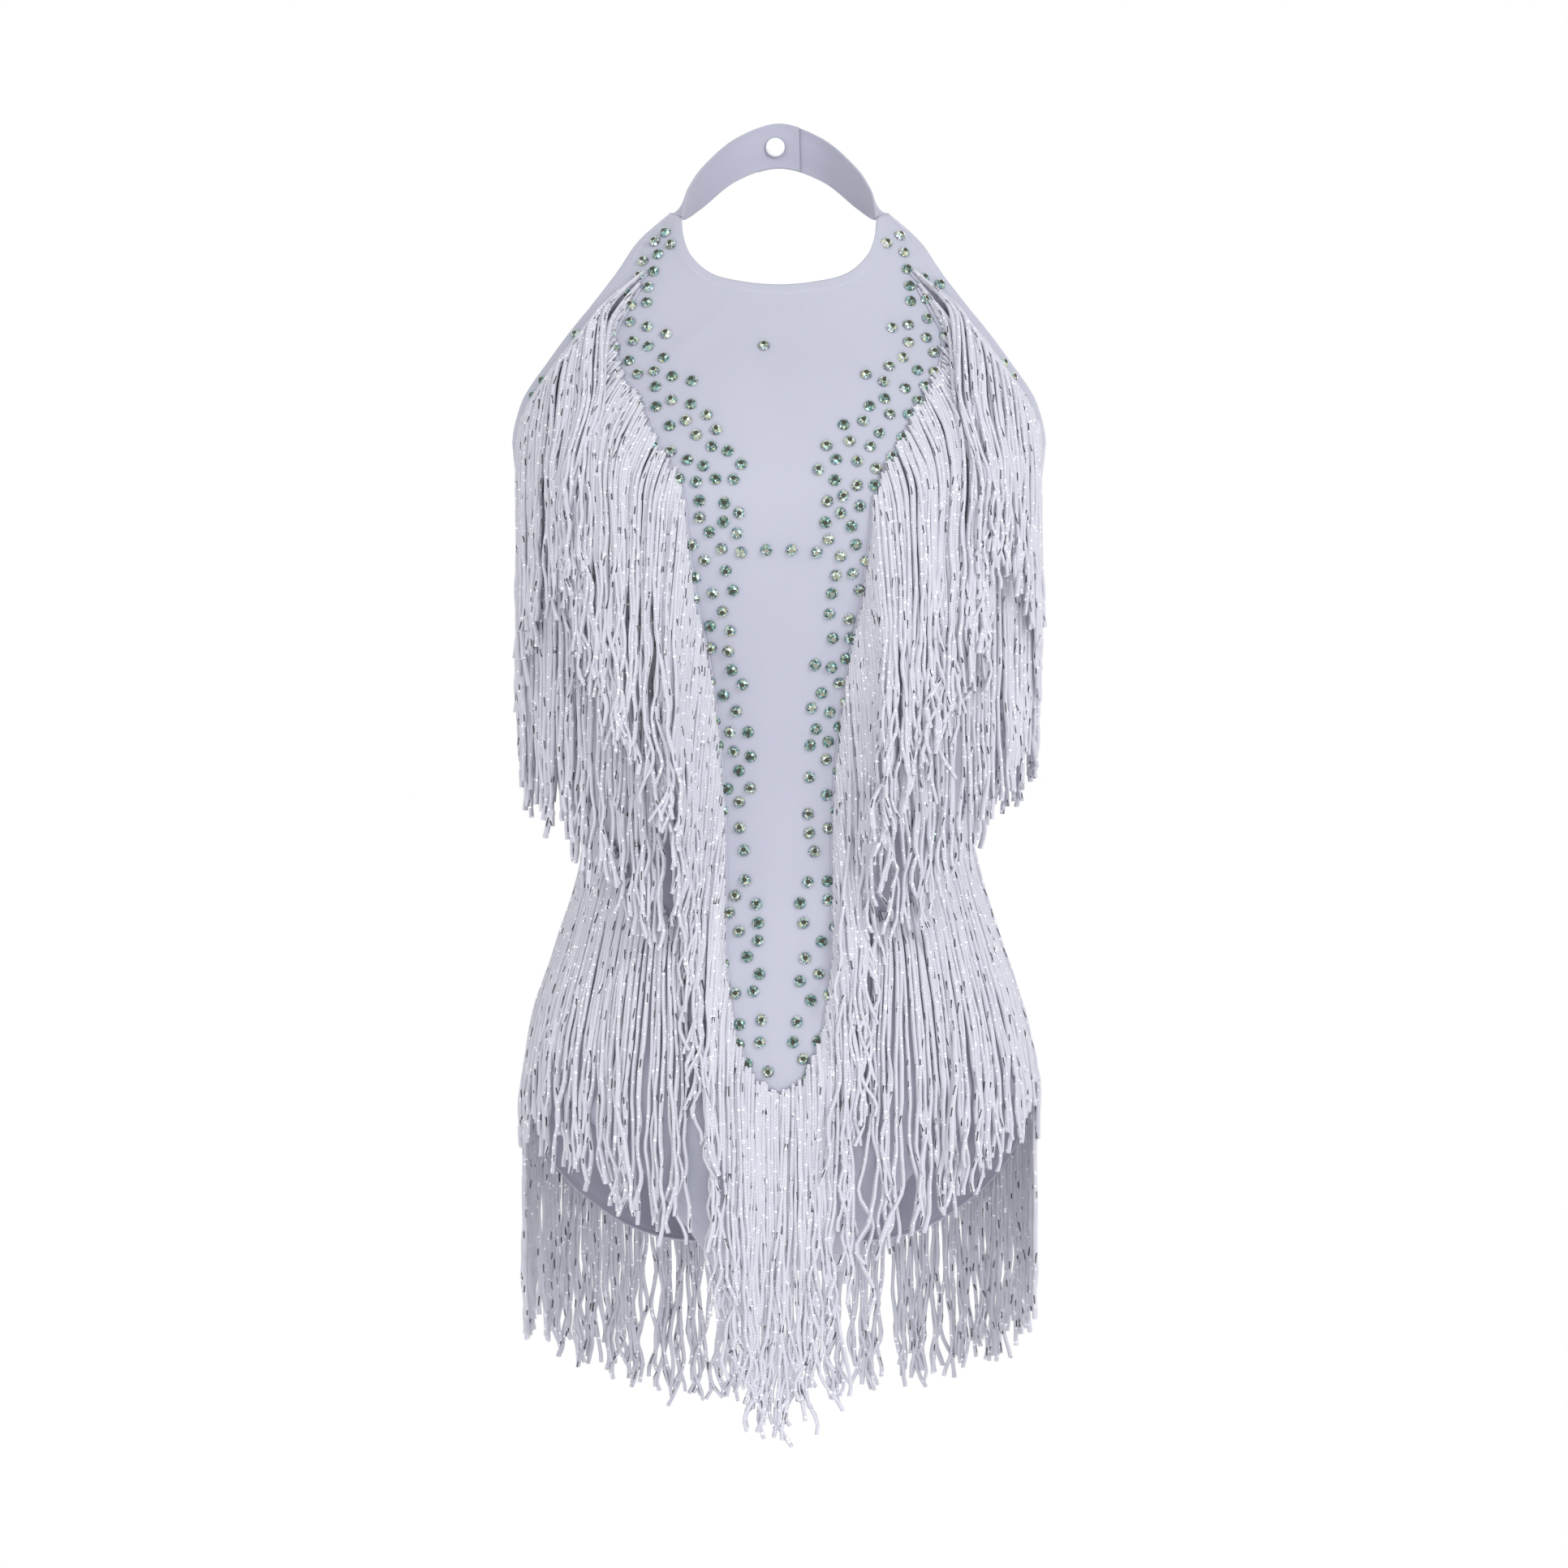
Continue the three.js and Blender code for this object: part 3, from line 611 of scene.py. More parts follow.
def creaseHeight(turn, height, creases):
    # soft troughs and ridges: each runs from one place to another and dies out at its ends
    around = np.degrees(turn)
    total = np.zeros_like(turn)
    scale = math.radians(1) * clothMake["unrolled"]
    for startTurn, startHeight, endTurn, endHeight, width, depth in creases:
        alongX, alongZ = (endTurn - startTurn) * scale, endHeight - startHeight
        length = math.hypot(alongX, alongZ)
        x, z = (around - startTurn) * scale, height - startHeight
        share = (x * alongX + z * alongZ) / length**2
        away = (x * alongZ - z * alongX) / length
        bow = clothMake["creaseBow"] * length * np.sin(np.pi * np.clip(share, 0, 1))
        fade = np.sin(np.pi * np.clip(share, 0, 1)) ** 0.7
        total += depth * fade * np.exp(-(((away - bow) / width) ** 2))
    return total


def distanceTo(points, line):
    # from every point to the nearest of the line's points, in batches
    nearest = np.full(len(points), 1.0)
    for start in range(0, len(points), 4000):
        part = points[start : start + 4000]
        gaps = part[:, None, :] - line[None, :, :]
        nearest[start : start + 4000] = np.sqrt((gaps**2).sum(-1).min(1))
    return nearest


def denser(line, step=0.0015):
    lengths = np.linalg.norm(np.diff(line, axis=0), axis=1)
    along = np.concatenate([[0], np.cumsum(lengths)])
    places = np.linspace(0, along[-1], max(int(along[-1] / step), 2))
    return np.stack([np.interp(places, along, line[:, k]) for k in range(3)], axis=1)


def hemStep(edgeGap):
    # the turned hem stands this far off the cloth, by the distance from the edge
    start, end = (clothMake["hemWidth"] * clothMake[key] for key in ("hemStart", "hemEnd"))
    return clothMake["hemRise"] * (1 - smoothStep(edgeGap, start, end))


def gridMesh(name, points, clothPlaces, material):
    # one sheet of quads seen with its rows going up and its columns going right
    rows, columns = points.shape[:2]
    index = np.arange(rows * columns).reshape(rows, columns)
    quads = np.stack([index[:-1, :-1], index[:-1, 1:], index[1:, 1:], index[1:, :-1]], axis=-1)
    mesh = bpy.data.meshes.new(name)
    mesh.from_pydata(points.reshape(-1, 3).tolist(), [], quads.reshape(-1, 4).tolist())
    layer = mesh.uv_layers.new(name="clothMap")
    corners = np.empty(len(mesh.loops), int)
    mesh.loops.foreach_get("vertex_index", corners)
    layer.data.foreach_set("uv", clothPlaces.reshape(-1, 2)[corners].astype(np.float32).ravel())
    mesh.polygons.foreach_set("use_smooth", np.ones(len(mesh.polygons), bool))
    mesh.materials.append(material)
    return addObject(name, mesh)


def giveThickness(piece, thickness):
    wall = piece.modifiers.new("wall", "SOLIDIFY")
    wall.thickness = thickness
    wall.offset = -1
    wall.use_even_offset = False
    return piece


def panel(name, make, material):
    # a panel between its edges; make holds its grid, its edges and its creases
    shares = 2 * edgeSpaced(make["columns"]) - 1
    steps = edgeSpaced(make["rows"])
    top, bottom = make["topAt"](shares), make["bottomAt"](shares)
    height = bottom[None, :] + (top - bottom)[None, :] * steps[:, None]
    phi = shares[None, :] * make["phiEdge"](height)
    turn = make["turnOf"](phi, height)
    base = formPoint(turn, height)
    free = np.concatenate([denser(line) for line in make["freeEdges"](base)])
    edgeGap = distanceTo(base.reshape(-1, 3), free).reshape(height.shape)
    roll = -0.5 * clothMake["hemRise"] * (1 - smoothStep(edgeGap, 0, clothMake["edgeRoll"]))
    creased = creaseHeight(turn - make["middle"], height, make["creases"])
    creased = creased * smoothStep(edgeGap, 0, clothMake["creaseFade"])
    side = np.where(turn[..., None] > make["middle"], base[:, -1:], base[:, :1])
    sideGap = np.linalg.norm(base - side, axis=-1)
    sewn = np.where(height < bodyForm["underarm"], 1.0, 0.0)
    dip = -clothMake["seamDip"] * sewn * (1 - smoothStep(sideGap, 0, clothMake["seamReach"]))
    points = formPoint(turn, height, hemStep(edgeGap) + roll + creased + dip)
    clothPlaces = np.stack([turn * clothMake["unrolled"], height], axis=-1)
    piece = gridMesh(name, points, clothPlaces, material)
    giveThickness(piece, clothMake["thickness"])
    return piece, base, points


def edgeHeights(edgeAt, phiEdge, between):
    # height of an edge at each share of the panel's width, from its height at a distance aside
    def heights(shares):
        gap = lambda height: height - edgeAt(spanAt(np.abs(shares) * phiEdge(height), height))
        return crossing(gap, *between, shares.shape)

    return heights


def legEdges(base, make):
    # the panel's lower edge on both sides of its seam with the gusset
    aside, seamHalf = base[0, :, 0], make["legEdge"][0][0]
    return [base[0, aside < -seamHalf], base[0, aside > seamHalf]]


sidePhi = math.pi / 2

frontMake = {
    "columns": 112,
    "rows": 150,
    # distance aside, height
    "neckEdge": [
        (-0.025, -0.0965),
        (0, -0.099),
        (0.025, -0.0965),
        (0.042, -0.091),
        (0.054, -0.079),
        (0.0585, -0.066),
        (0.0595, -0.056),
        (0.068, -0.0515),
    ],
    "legEdge": [
        (0.045, -0.684),
        (0.060, -0.660),
        (0.080, -0.634),
        (0.103, -0.611),
        (0.122, -0.5995),
        (0.140, -0.591),
        (0.157, -0.577),
    ],
    "topBetween": (-0.110, -0.0515),  # heights that hold the whole of each edge
    "bottomBetween": (-0.684, -0.560),
    # from turn and height to turn and height, half width, depth (minus is a trough)
    "creases": [
        (28, -0.112, 47, -0.150, 0.007, 0.0008),
        (-24, -0.110, -44, -0.158, 0.008, 0.0009),
        (78, -0.196, 44, -0.222, 0.0055, -0.0015),
        (82, -0.214, 52, -0.236, 0.006, 0.0013),
        (-80, -0.200, -46, -0.216, 0.006, -0.0014),
        (-84, -0.222, -58, -0.246, 0.005, 0.0012),
        (34, -0.300, 12, -0.352, 0.009, -0.0009),
        (-30, -0.296, -9, -0.366, 0.010, -0.0010),
        (88, -0.386, 40, -0.398, 0.0045, -0.0016),
        (86, -0.404, 52, -0.410, 0.0050, 0.0013),
        (84, -0.424, 36, -0.432, 0.0050, -0.0014),
        (-86, -0.380, -48, -0.394, 0.0050, -0.0015),
        (-88, -0.402, -38, -0.414, 0.0045, 0.0014),
        (-84, -0.428, -50, -0.440, 0.0055, -0.0015),
        (8, -0.420, 11, -0.540, 0.010, -0.0006),
        (-6, -0.400, -10, -0.520, 0.012, -0.0006),
        (66, -0.580, 30, -0.520, 0.008, -0.0013),
        (-62, -0.584, -34, -0.530, 0.007, -0.0014),
        (24, -0.672, 6, -0.630, 0.0055, -0.0012),
        (-22, -0.668, -8, -0.622, 0.0060, -0.0011),
        (2, -0.676, -2, -0.640, 0.0045, 0.0010),
    ],
}


def makeFront():
    neckAt = curveThrough(*zip(*frontMake["neckEdge"]))
    legAt = curveThrough(*zip(*frontMake["legEdge"]))

    def phiEdge(height):
        low = height < bodyForm["underarm"] - clothMake["underarmDrop"]
        return np.where(low, sidePhi, phiAtSpan(armholeSpanAt(height), height))

    def freeEdges(base):
        armhole = base[:, 0, 2] > bodyForm["underarm"]
        return [base[-1], base[armhole, 0], base[armhole, -1], *legEdges(base, frontMake)]

    return panel(
        "front_cloth",
        {
            **frontMake,
            "phiEdge": phiEdge,
            "turnOf": lambda phi, height: turnAt(phi, height, frontDepthAt),
            "middle": 0.0,
            "topAt": edgeHeights(neckAt, phiEdge, frontMake["topBetween"]),
            "bottomAt": edgeHeights(legAt, phiEdge, frontMake["bottomBetween"]),
            "freeEdges": freeEdges,
        },
        satin,
    )


frontCloth, frontBase, frontPoints = makeFront()

backMake = {
    "columns": 112,
    "rows": 120,
    "topEdge": [
        (-0.060, -0.288),
        (0, -0.300),
        (0.060, -0.288),
        (0.110, -0.250),
        (0.145, -0.212),
        (0.1636, -0.196),
    ],
    "legEdge": [
        (0.047, -0.690),
        (0.075, -0.687),
        (0.098, -0.679),
        (0.120, -0.664),
        (0.136, -0.648),
        (0.150, -0.622),
        (0.157, -0.577),
    ],
    "topBetween": (-0.310, -0.190),
    "bottomBetween": (-0.690, -0.560),
    # turns are from the centre back here
    "creases": [
        (86, -0.216, 50, -0.262, 0.006, -0.0013),
        (-84, -0.224, -46, -0.270, 0.007, -0.0013),
        (86, -0.384, 34, -0.396, 0.005, -0.0016),
        (82, -0.404, 20, -0.414, 0.005, 0.0013),
        (88, -0.430, 42, -0.436, 0.006, -0.0015),
        (-86, -0.390, -30, -0.402, 0.005, -0.0016),
        (-82, -0.412, -24, -0.420, 0.005, 0.0012),
        (-86, -0.434, -36, -0.446, 0.006, -0.0014),
        (4, -0.330, 2, -0.460, 0.012, -0.0010),
        (60, -0.640, 24, -0.600, 0.007, -0.0014),
        (-58, -0.636, -28, -0.590, 0.008, -0.0014),
        (44, -0.664, 20, -0.640, 0.005, 0.0012),
        (-46, -0.668, -18, -0.646, 0.005, 0.0012),
        (62, -0.622, 34, -0.628, 0.005, -0.0015),
        (-66, -0.618, -30, -0.632, 0.005, -0.0013),
        (3, -0.560, -2, -0.680, 0.008, -0.0018),
    ],
}


def makeBack():
    topEdgeAt = curveThrough(*zip(*backMake["topEdge"]))
    legAt = curveThrough(*zip(*backMake["legEdge"]))

    def phiEdge(height):
        return np.full_like(height, sidePhi)

    def freeEdges(base):
        return [base[-1], *legEdges(base, backMake)]

    return panel(
        "back_cloth",
        {
            **backMake,
            "phiEdge": phiEdge,
            "turnOf": lambda phi, height: math.pi + turnAt(phi, height, backDepthAt),
            "middle": math.pi,
            "topAt": edgeHeights(topEdgeAt, phiEdge, backMake["topBetween"]),
            "bottomAt": edgeHeights(legAt, phiEdge, backMake["bottomBetween"]),
            "freeEdges": freeEdges,
        },
        satin,
    )


backCloth, backBase, backPoints = makeBack()
print("front and back panels made")

gussetMake = {
    "rows": 48,
    "columns": 36,
    "frontSeam": -0.684,
    "backSeam": -0.690,
    "seamGap": 0.0004,
    "seamLength": 0.03,  # mean length from one row of the path to the next
    "rippleHeight": 0.0006,
    "ripplesAlong": 160,
    "ripplesAcross": 40,
    # y, height, half width between the two seams
    "path": [(-0.081, -0.696, 0.041), (-0.052, -0.700, 0.039), (-0.018, -0.6985, 0.042)],
}


def rowsThrough(rows):
    # smooth curves through a table's columns, by row number
    places = np.arange(len(rows))
    curves = [curveThrough(places, column) for column in zip(*rows)]
    return lambda at: [curve(at) for curve in curves]


def makeGusset():
    sideLine = bodyForm["sideLine"]
    frontSeam, backSeam = gussetMake["frontSeam"], gussetMake["backSeam"]
    start = (sideLine - float(frontDepthAt(frontSeam)), frontSeam, frontMake["legEdge"][0][0])
    end = (sideLine + float(backDepthAt(backSeam)), backSeam, backMake["legEdge"][0][0])
    path = rowsThrough([start, *gussetMake["path"], end])
    last = len(gussetMake["path"]) + 1
    ease = gussetMake["seamGap"] / gussetMake["seamLength"]
    along = ease + (last - 2 * ease) * edgeSpaced(gussetMake["rows"])
    y, height, halfWidth = path(along)
    x = halfWidth[:, None] * (1 - 2 * edgeSpaced(gussetMake["columns"]))[None, :]
    square = bodyForm["squareness"]
    rounded = (1 - (np.abs(x) / halfWidthAt(height)[:, None]) ** square) ** (1 / square)
    points = np.stack([x, sideLine + (y[:, None] - sideLine) * rounded, height[:, None] + 0 * x], axis=-1)
    edgeGap = halfWidth[:, None] - np.abs(x)
    ripple = np.sin(y[:, None] * gussetMake["ripplesAlong"] + x * gussetMake["ripplesAcross"])
    ripple = ripple * smoothStep(edgeGap, 0, clothMake["creaseFade"])
    points[..., 2] += gussetMake["rippleHeight"] * ripple - hemStep(edgeGap)
    clothPlaces = np.stack([x, y[:, None] + 0 * x], axis=-1)
    return giveThickness(gridMesh("gusset_cloth", points, clothPlaces, satin), clothMake["thickness"])


gussetCloth = makeGusset()

bandMake = {
    "thickness": 0.0014,
    "width": 0.0285,
    "lap": 0.013,  # how far each end passes the centre back
    "napeRow": 5,
    "rowLength": 0.0285,  # along the band from the nape's row to the next
    "puff": 0.0003,
    "puffStart": 0.004,
    "puffLow": 0.006,
    "puffEnd": 0.012,
    "liftFull": 0.014,
    "liftNone": 0.050,
    "outerLift": 0.0021,
    "rows": 72,
    "columns": 20,
    # outer face from the front to the nape: the neck edge, then the outer edge
    "path": [
        (0.0592, -0.0815, -0.0542, 0.0673, -0.0652, -0.0501),
        (0.0585, -0.067, -0.043, 0.064, -0.050, -0.049),
        (0.056, -0.047, -0.032, 0.060, -0.033, -0.050),
        (0.047, -0.027, -0.016, 0.049, -0.018, -0.041),
        (0.027, -0.007, 0.004, 0.028, -0.004, -0.023),
        (0, 0.0018, 0.0143, 0, 0.0018, -0.0137),
        (-0.027, -0.007, 0.004, -0.028, -0.004, -0.023),
        (-0.047, -0.027, -0.016, -0.049, -0.018, -0.041),
    ],
}


def makeBand(side, lift):
    table = rowsThrough(bandMake["path"])
    nape = bandMake["napeRow"]
    rowLength, width = bandMake["rowLength"], bandMake["width"]
    end = nape + bandMake["lap"] / rowLength
    along = edgeSpaced(bandMake["rows"]) * end
    columns = np.stack(table(along), axis=-1)
    neck, outer = columns[:, None, :3], columns[:, None, 3:]
    share = edgeSpaced(bandMake["columns"])
    share = (1 - share if side > 0 else share)[None, :, None]
    points = outer + (neck - outer) * share
    points[..., 1] += lift * (1 - smoothStep(points[..., 0], bandMake["liftFull"], bandMake["liftNone"]))
    across = share[..., 0]
    edge = np.minimum(across, 1 - across) * width
    endGap = (end - along)[:, None] * rowLength
    rise = smoothStep(edge, 0, bandMake["puffStart"])
    fall = smoothStep(edge, bandMake["puffLow"], bandMake["puffEnd"])
    points[..., 1] += bandMake["puff"] * (rise - fall) * smoothStep(endGap, 0, bandMake["puffStart"])
    points[..., 0] *= side
    length = along[:, None] * rowLength
    clothPlaces = np.stack([length + 0 * across, across * width + 0 * length], axis=-1)
    name = "neck_band_right_cloth" if side > 0 else "neck_band_left_cloth"
    return giveThickness(gridMesh(name, points, clothPlaces, shadedBandSatin), bandMake["thickness"])


bandLeft = makeBand(-1, 0.0)
bandRight = makeBand(1, bandMake["outerLift"])
print("gusset and neck band made")

snapMake = {
    "radius": 0.006,
    "height": 0.0018,
    "aside": -0.0025,
    "level": -0.001,
    "innerFace": -0.0013,
    "outerFace": 0.0042,
    # share of the radius, share of the height
    "profile": [
        (0.0, 0.0),
        (0.94, 0.0),
        (1.0, 0.08),
        (1.0, 0.34),
        (0.96, 0.58),
        (0.84, 0.80),
        (0.62, 0.94),
        (0.36, 1.0),
        (0.14, 0.97),
        (0.0, 0.95),
    ],
    "sides": 48,
}


def makeSnap(name, face, facing):
    # a turned cap; facing is -1 towards the neck and 1 outwards
    body = bmesh.new()
    rings = []
    for radiusShare, heightShare in snapMake["profile"]:
        radius, out = snapMake["radius"] * radiusShare, snapMake["height"] * heightShare * facing
        count = 1 if radiusShare == 0 else snapMake["sides"]
        ring = []
        for k in range(count):
            x = snapMake["aside"] + radius * math.cos(2 * math.pi * k / count)
            z = snapMake["level"] + radius * math.sin(2 * math.pi * k / count)
            ring.append(body.verts.new((x, face + out, z)))
        rings.append(ring)
    for ring, after in zip(rings, rings[1:]):
        for k in range(snapMake["sides"]):
            n = (k + 1) % snapMake["sides"]
            low = [ring[k % len(ring)], ring[n % len(ring)]]
            high = [after[n % len(after)], after[k % len(after)]]
            body.faces.new(list(dict.fromkeys(low + high)))
    bmesh.ops.recalc_face_normals(body, faces=body.faces)
    mesh = bpy.data.meshes.new(name)
    body.to_mesh(mesh)
    body.free()
    mesh.polygons.foreach_set("use_smooth", np.ones(len(mesh.polygons), bool))
    mesh.materials.append(snapPlastic)
    return addObject(name, mesh)


snapInner = makeSnap("snap_inner_cap", snapMake["innerFace"], -1)
snapOuter = makeSnap("snap_outer_cap", snapMake["outerFace"], 1)


fringeMake = {
    "cordWidth": 0.0033,
    "flatness": 0.72,
    "sides": 6,
    "step": 0.0055,
    "sewnLift": 0.0016,
    "sideLift": 0.35,  # share of its lift that a cord keeps near the side seam
    "sideTurn": 85,
    "sideReach": 30,
    "liftLength": 0.024,
    # farthest that cords reach aside, by height, from this far below their tape
    "reachLength": 0.045,
    "reach": {
        "upper": [
            (-0.090, 0.0935),
            (-0.111, 0.1075),
            (-0.130, 0.1210),
            (-0.148, 0.1345),
            (-0.164, 0.1465),
            (-0.177, 0.1530),
            (-0.200, 0.1575),
            (-0.260, 0.1580),
            (-0.480, 0.1560),
        ],
        "backUpper": [(-0.190, 0.1655), (-0.250, 0.1645), (-0.500, 0.1635)],
        "hip": [
            (-0.190, 0.158),
            (-0.400, 0.124),
            (-0.430, 0.123),
            (-0.460, 0.130),
            (-0.495, 0.1415),
            (-0.530, 0.152),
            (-0.570, 0.159),
            (-0.620, 0.162),
            (-0.800, 0.163),
        ],
    },
    "sweep": 0.09,  # length in which a cord turns from where it is sewn to where it hangs
    "lengthSpread": 0.10,
    "waveSize": 0.0032,
    "waveLength": 0.045,
    "waveGrowth": 45.0,  # waves grow with the square of the way down, and with the way down
    "waveStart": 2.2,
    "waveMost": 2.2,
    "lockSwing": 22.0,  # of the cords that hang as one lock
    "tipLength": 0.035,  # share of a cord that narrows, and how far
    "tipWidth": 0.45,
    "clump": 4,  # cords that lean together
    "clumpLean": 0.0045,
    "ownLean": 0.35,
    "leanPower": 1.6,
    "clumpLength": 0.03,
    "gathering": 0.55,  # share of the way a clump's tips come together
    "strays": 0.03,  # share of the cords that cross the others, and how far
    "strayLean": 0.022,
    "topSpread": 0.006,
    "placeSpread": 0.3,
    "tapeWidth": 0.0032,
    "tapeLift": 0.0010,
    "tapeThickness": 0.0007,
    "tapeSteps": 12,
    # lowest and highest lift of each layer of fringe
    "layers": {1: (0.0020, 0.0045), 2: (0.0052, 0.0085), 3: (0.0088, 0.0125)},
}

# left and right are the lengths of the first and the last cord on that side.
# A place's turn and hang are degrees from the centre of the panel: where a cord is
# sewn and where it hangs; its last number is the cords from here to the next place
fringeRows = {
    "fringe_armhole": {
        "panel": "front",
        "tier": "upper",
        "layer": 3,
        "left": (0.200, 0.182),
        "right": (0.185, 0.162),
        "places": [
            (63.5, -0.090, 50, 14),
            (65.5, -0.106, 57.5, 18),
            (68.5, -0.134, 68, 16),
            (71.5, -0.160, 77, 15),
            (77, -0.186, 85, 0),
        ],
    },
    "fringe_centre": {
        "panel": "front",
        "tier": "upper",
        "layer": 2,
        "left": (0.205, 0.205),
        "right": (0.205, 0.205),
        "places": [
            (62.5, -0.100, 50.5, 5),
            (62, -0.112, 51.5, 9),
            (61, -0.130, 54, 12),
            (52.5, -0.157, 47.5, 13),
            (43.5, -0.177, 41.5, 13),
            (36, -0.200, 36.5, 10),
            (29, -0.220, 31.5, 8),
            (26.5, -0.236, 29.5, 14),
            (27, -0.294, 30.5, 11),
            (24.7, -0.349, 28, 10),
            (23.4, -0.398, 25.5, 16),
            (19.7, -0.509, 20, 9),
            (15.4, -0.552, 14.5, 11),
            (8.5, -0.580, 8, 13),
            (0.3, -0.588, -0.4, 0),
        ],
    },
    "fringe_underbust": {
        "panel": "front",
        "tier": "upper",
        "layer": 1,
        "left": (0.196, 0.205),
        "right": (0.165, 0.205),
        "places": [
            (78, -0.200, 80, 20),
            (63, -0.240, 63, 18),
            (47, -0.282, 46, 16),
            (38, -0.300, 35, 0),
        ],
    },
    "fringe_hip": {
        "panel": "front",
        "tier": "hip",
        "layer": 1,
        "left": (0.195, 0.200),
        "right": (0.185, 0.200),
        "places": [
            (85, -0.416, 86, 20),
            (65, -0.440, 65, 14),
            (54, -0.462, 54, 10),
            (46, -0.478, 45, 12),
            (34, -0.485, 29, 0),
        ],
    },
    "fringe_back_upper": {
        "panel": "back",
        "tier": "backUpper",
        "layer": 3,
        "left": (0.190, 0.190),
        "right": (0.190, 0.190),
        "places": [
            (82, -0.207, 82, 18),
            (74, -0.225, 74, 24),
            (60, -0.262, 60, 28),
            (37, -0.301, 37, 38),
            (0.3, -0.313, -0.3, 0),
        ],
    },
    "fringe_back_waist": {
        "panel": "back",
        "tier": "hip",
        "layer": 2,
        "left": (0.200, 0.200),
        "right": (0.200, 0.200),
        "places": [
            (87, -0.420, 87, 22),
            (70, -0.440, 70, 30),
            (45, -0.468, 45, 28),
            (20, -0.480, 20, 20),
            (0.3, -0.484, -0.3, 0),
        ],
    },
    "fringe_back_seat": {
        "panel": "back",
        "tier": "hip",
        "layer": 1,
        "left": (0.200, 0.200),
        "right": (0.200, 0.200),
        "places": [
            (85, -0.540, 85, 26),
            (65, -0.560, 65, 26),
            (45, -0.585, 45, 27),
            (22, -0.600, 22, 24),
            (0.3, -0.605, -0.3, 0),
        ],
    },
}


def namedValue(tree, name, kind="FLOAT"):
    made = addNode(tree, "GeometryNodeInputNamedAttribute", {"Name": name}, data_type=kind)
    return made.outputs["Attribute"]


def evenLines(tree, geometry, step):
    lines = addNode(tree, "GeometryNodeMeshToCurve", {0: geometry}).outputs[0]
    inputs = {"Curve": lines, "Length": step}
    return addNode(tree, "GeometryNodeResampleCurve", inputs, mode="LENGTH").outputs[0]


def finished(tree, geometry, given, result):
    # real meshes in their material
    made = addNode(tree, "GeometryNodeRealizeInstances", {"Geometry": geometry}).outputs[0]
    inputs = {"Geometry": made, "Material": given["Finish"]}
    made = addNode(tree, "GeometryNodeSetMaterial", inputs).outputs[0]
    tree.links.new(made, result["Geometry"])
    return tree


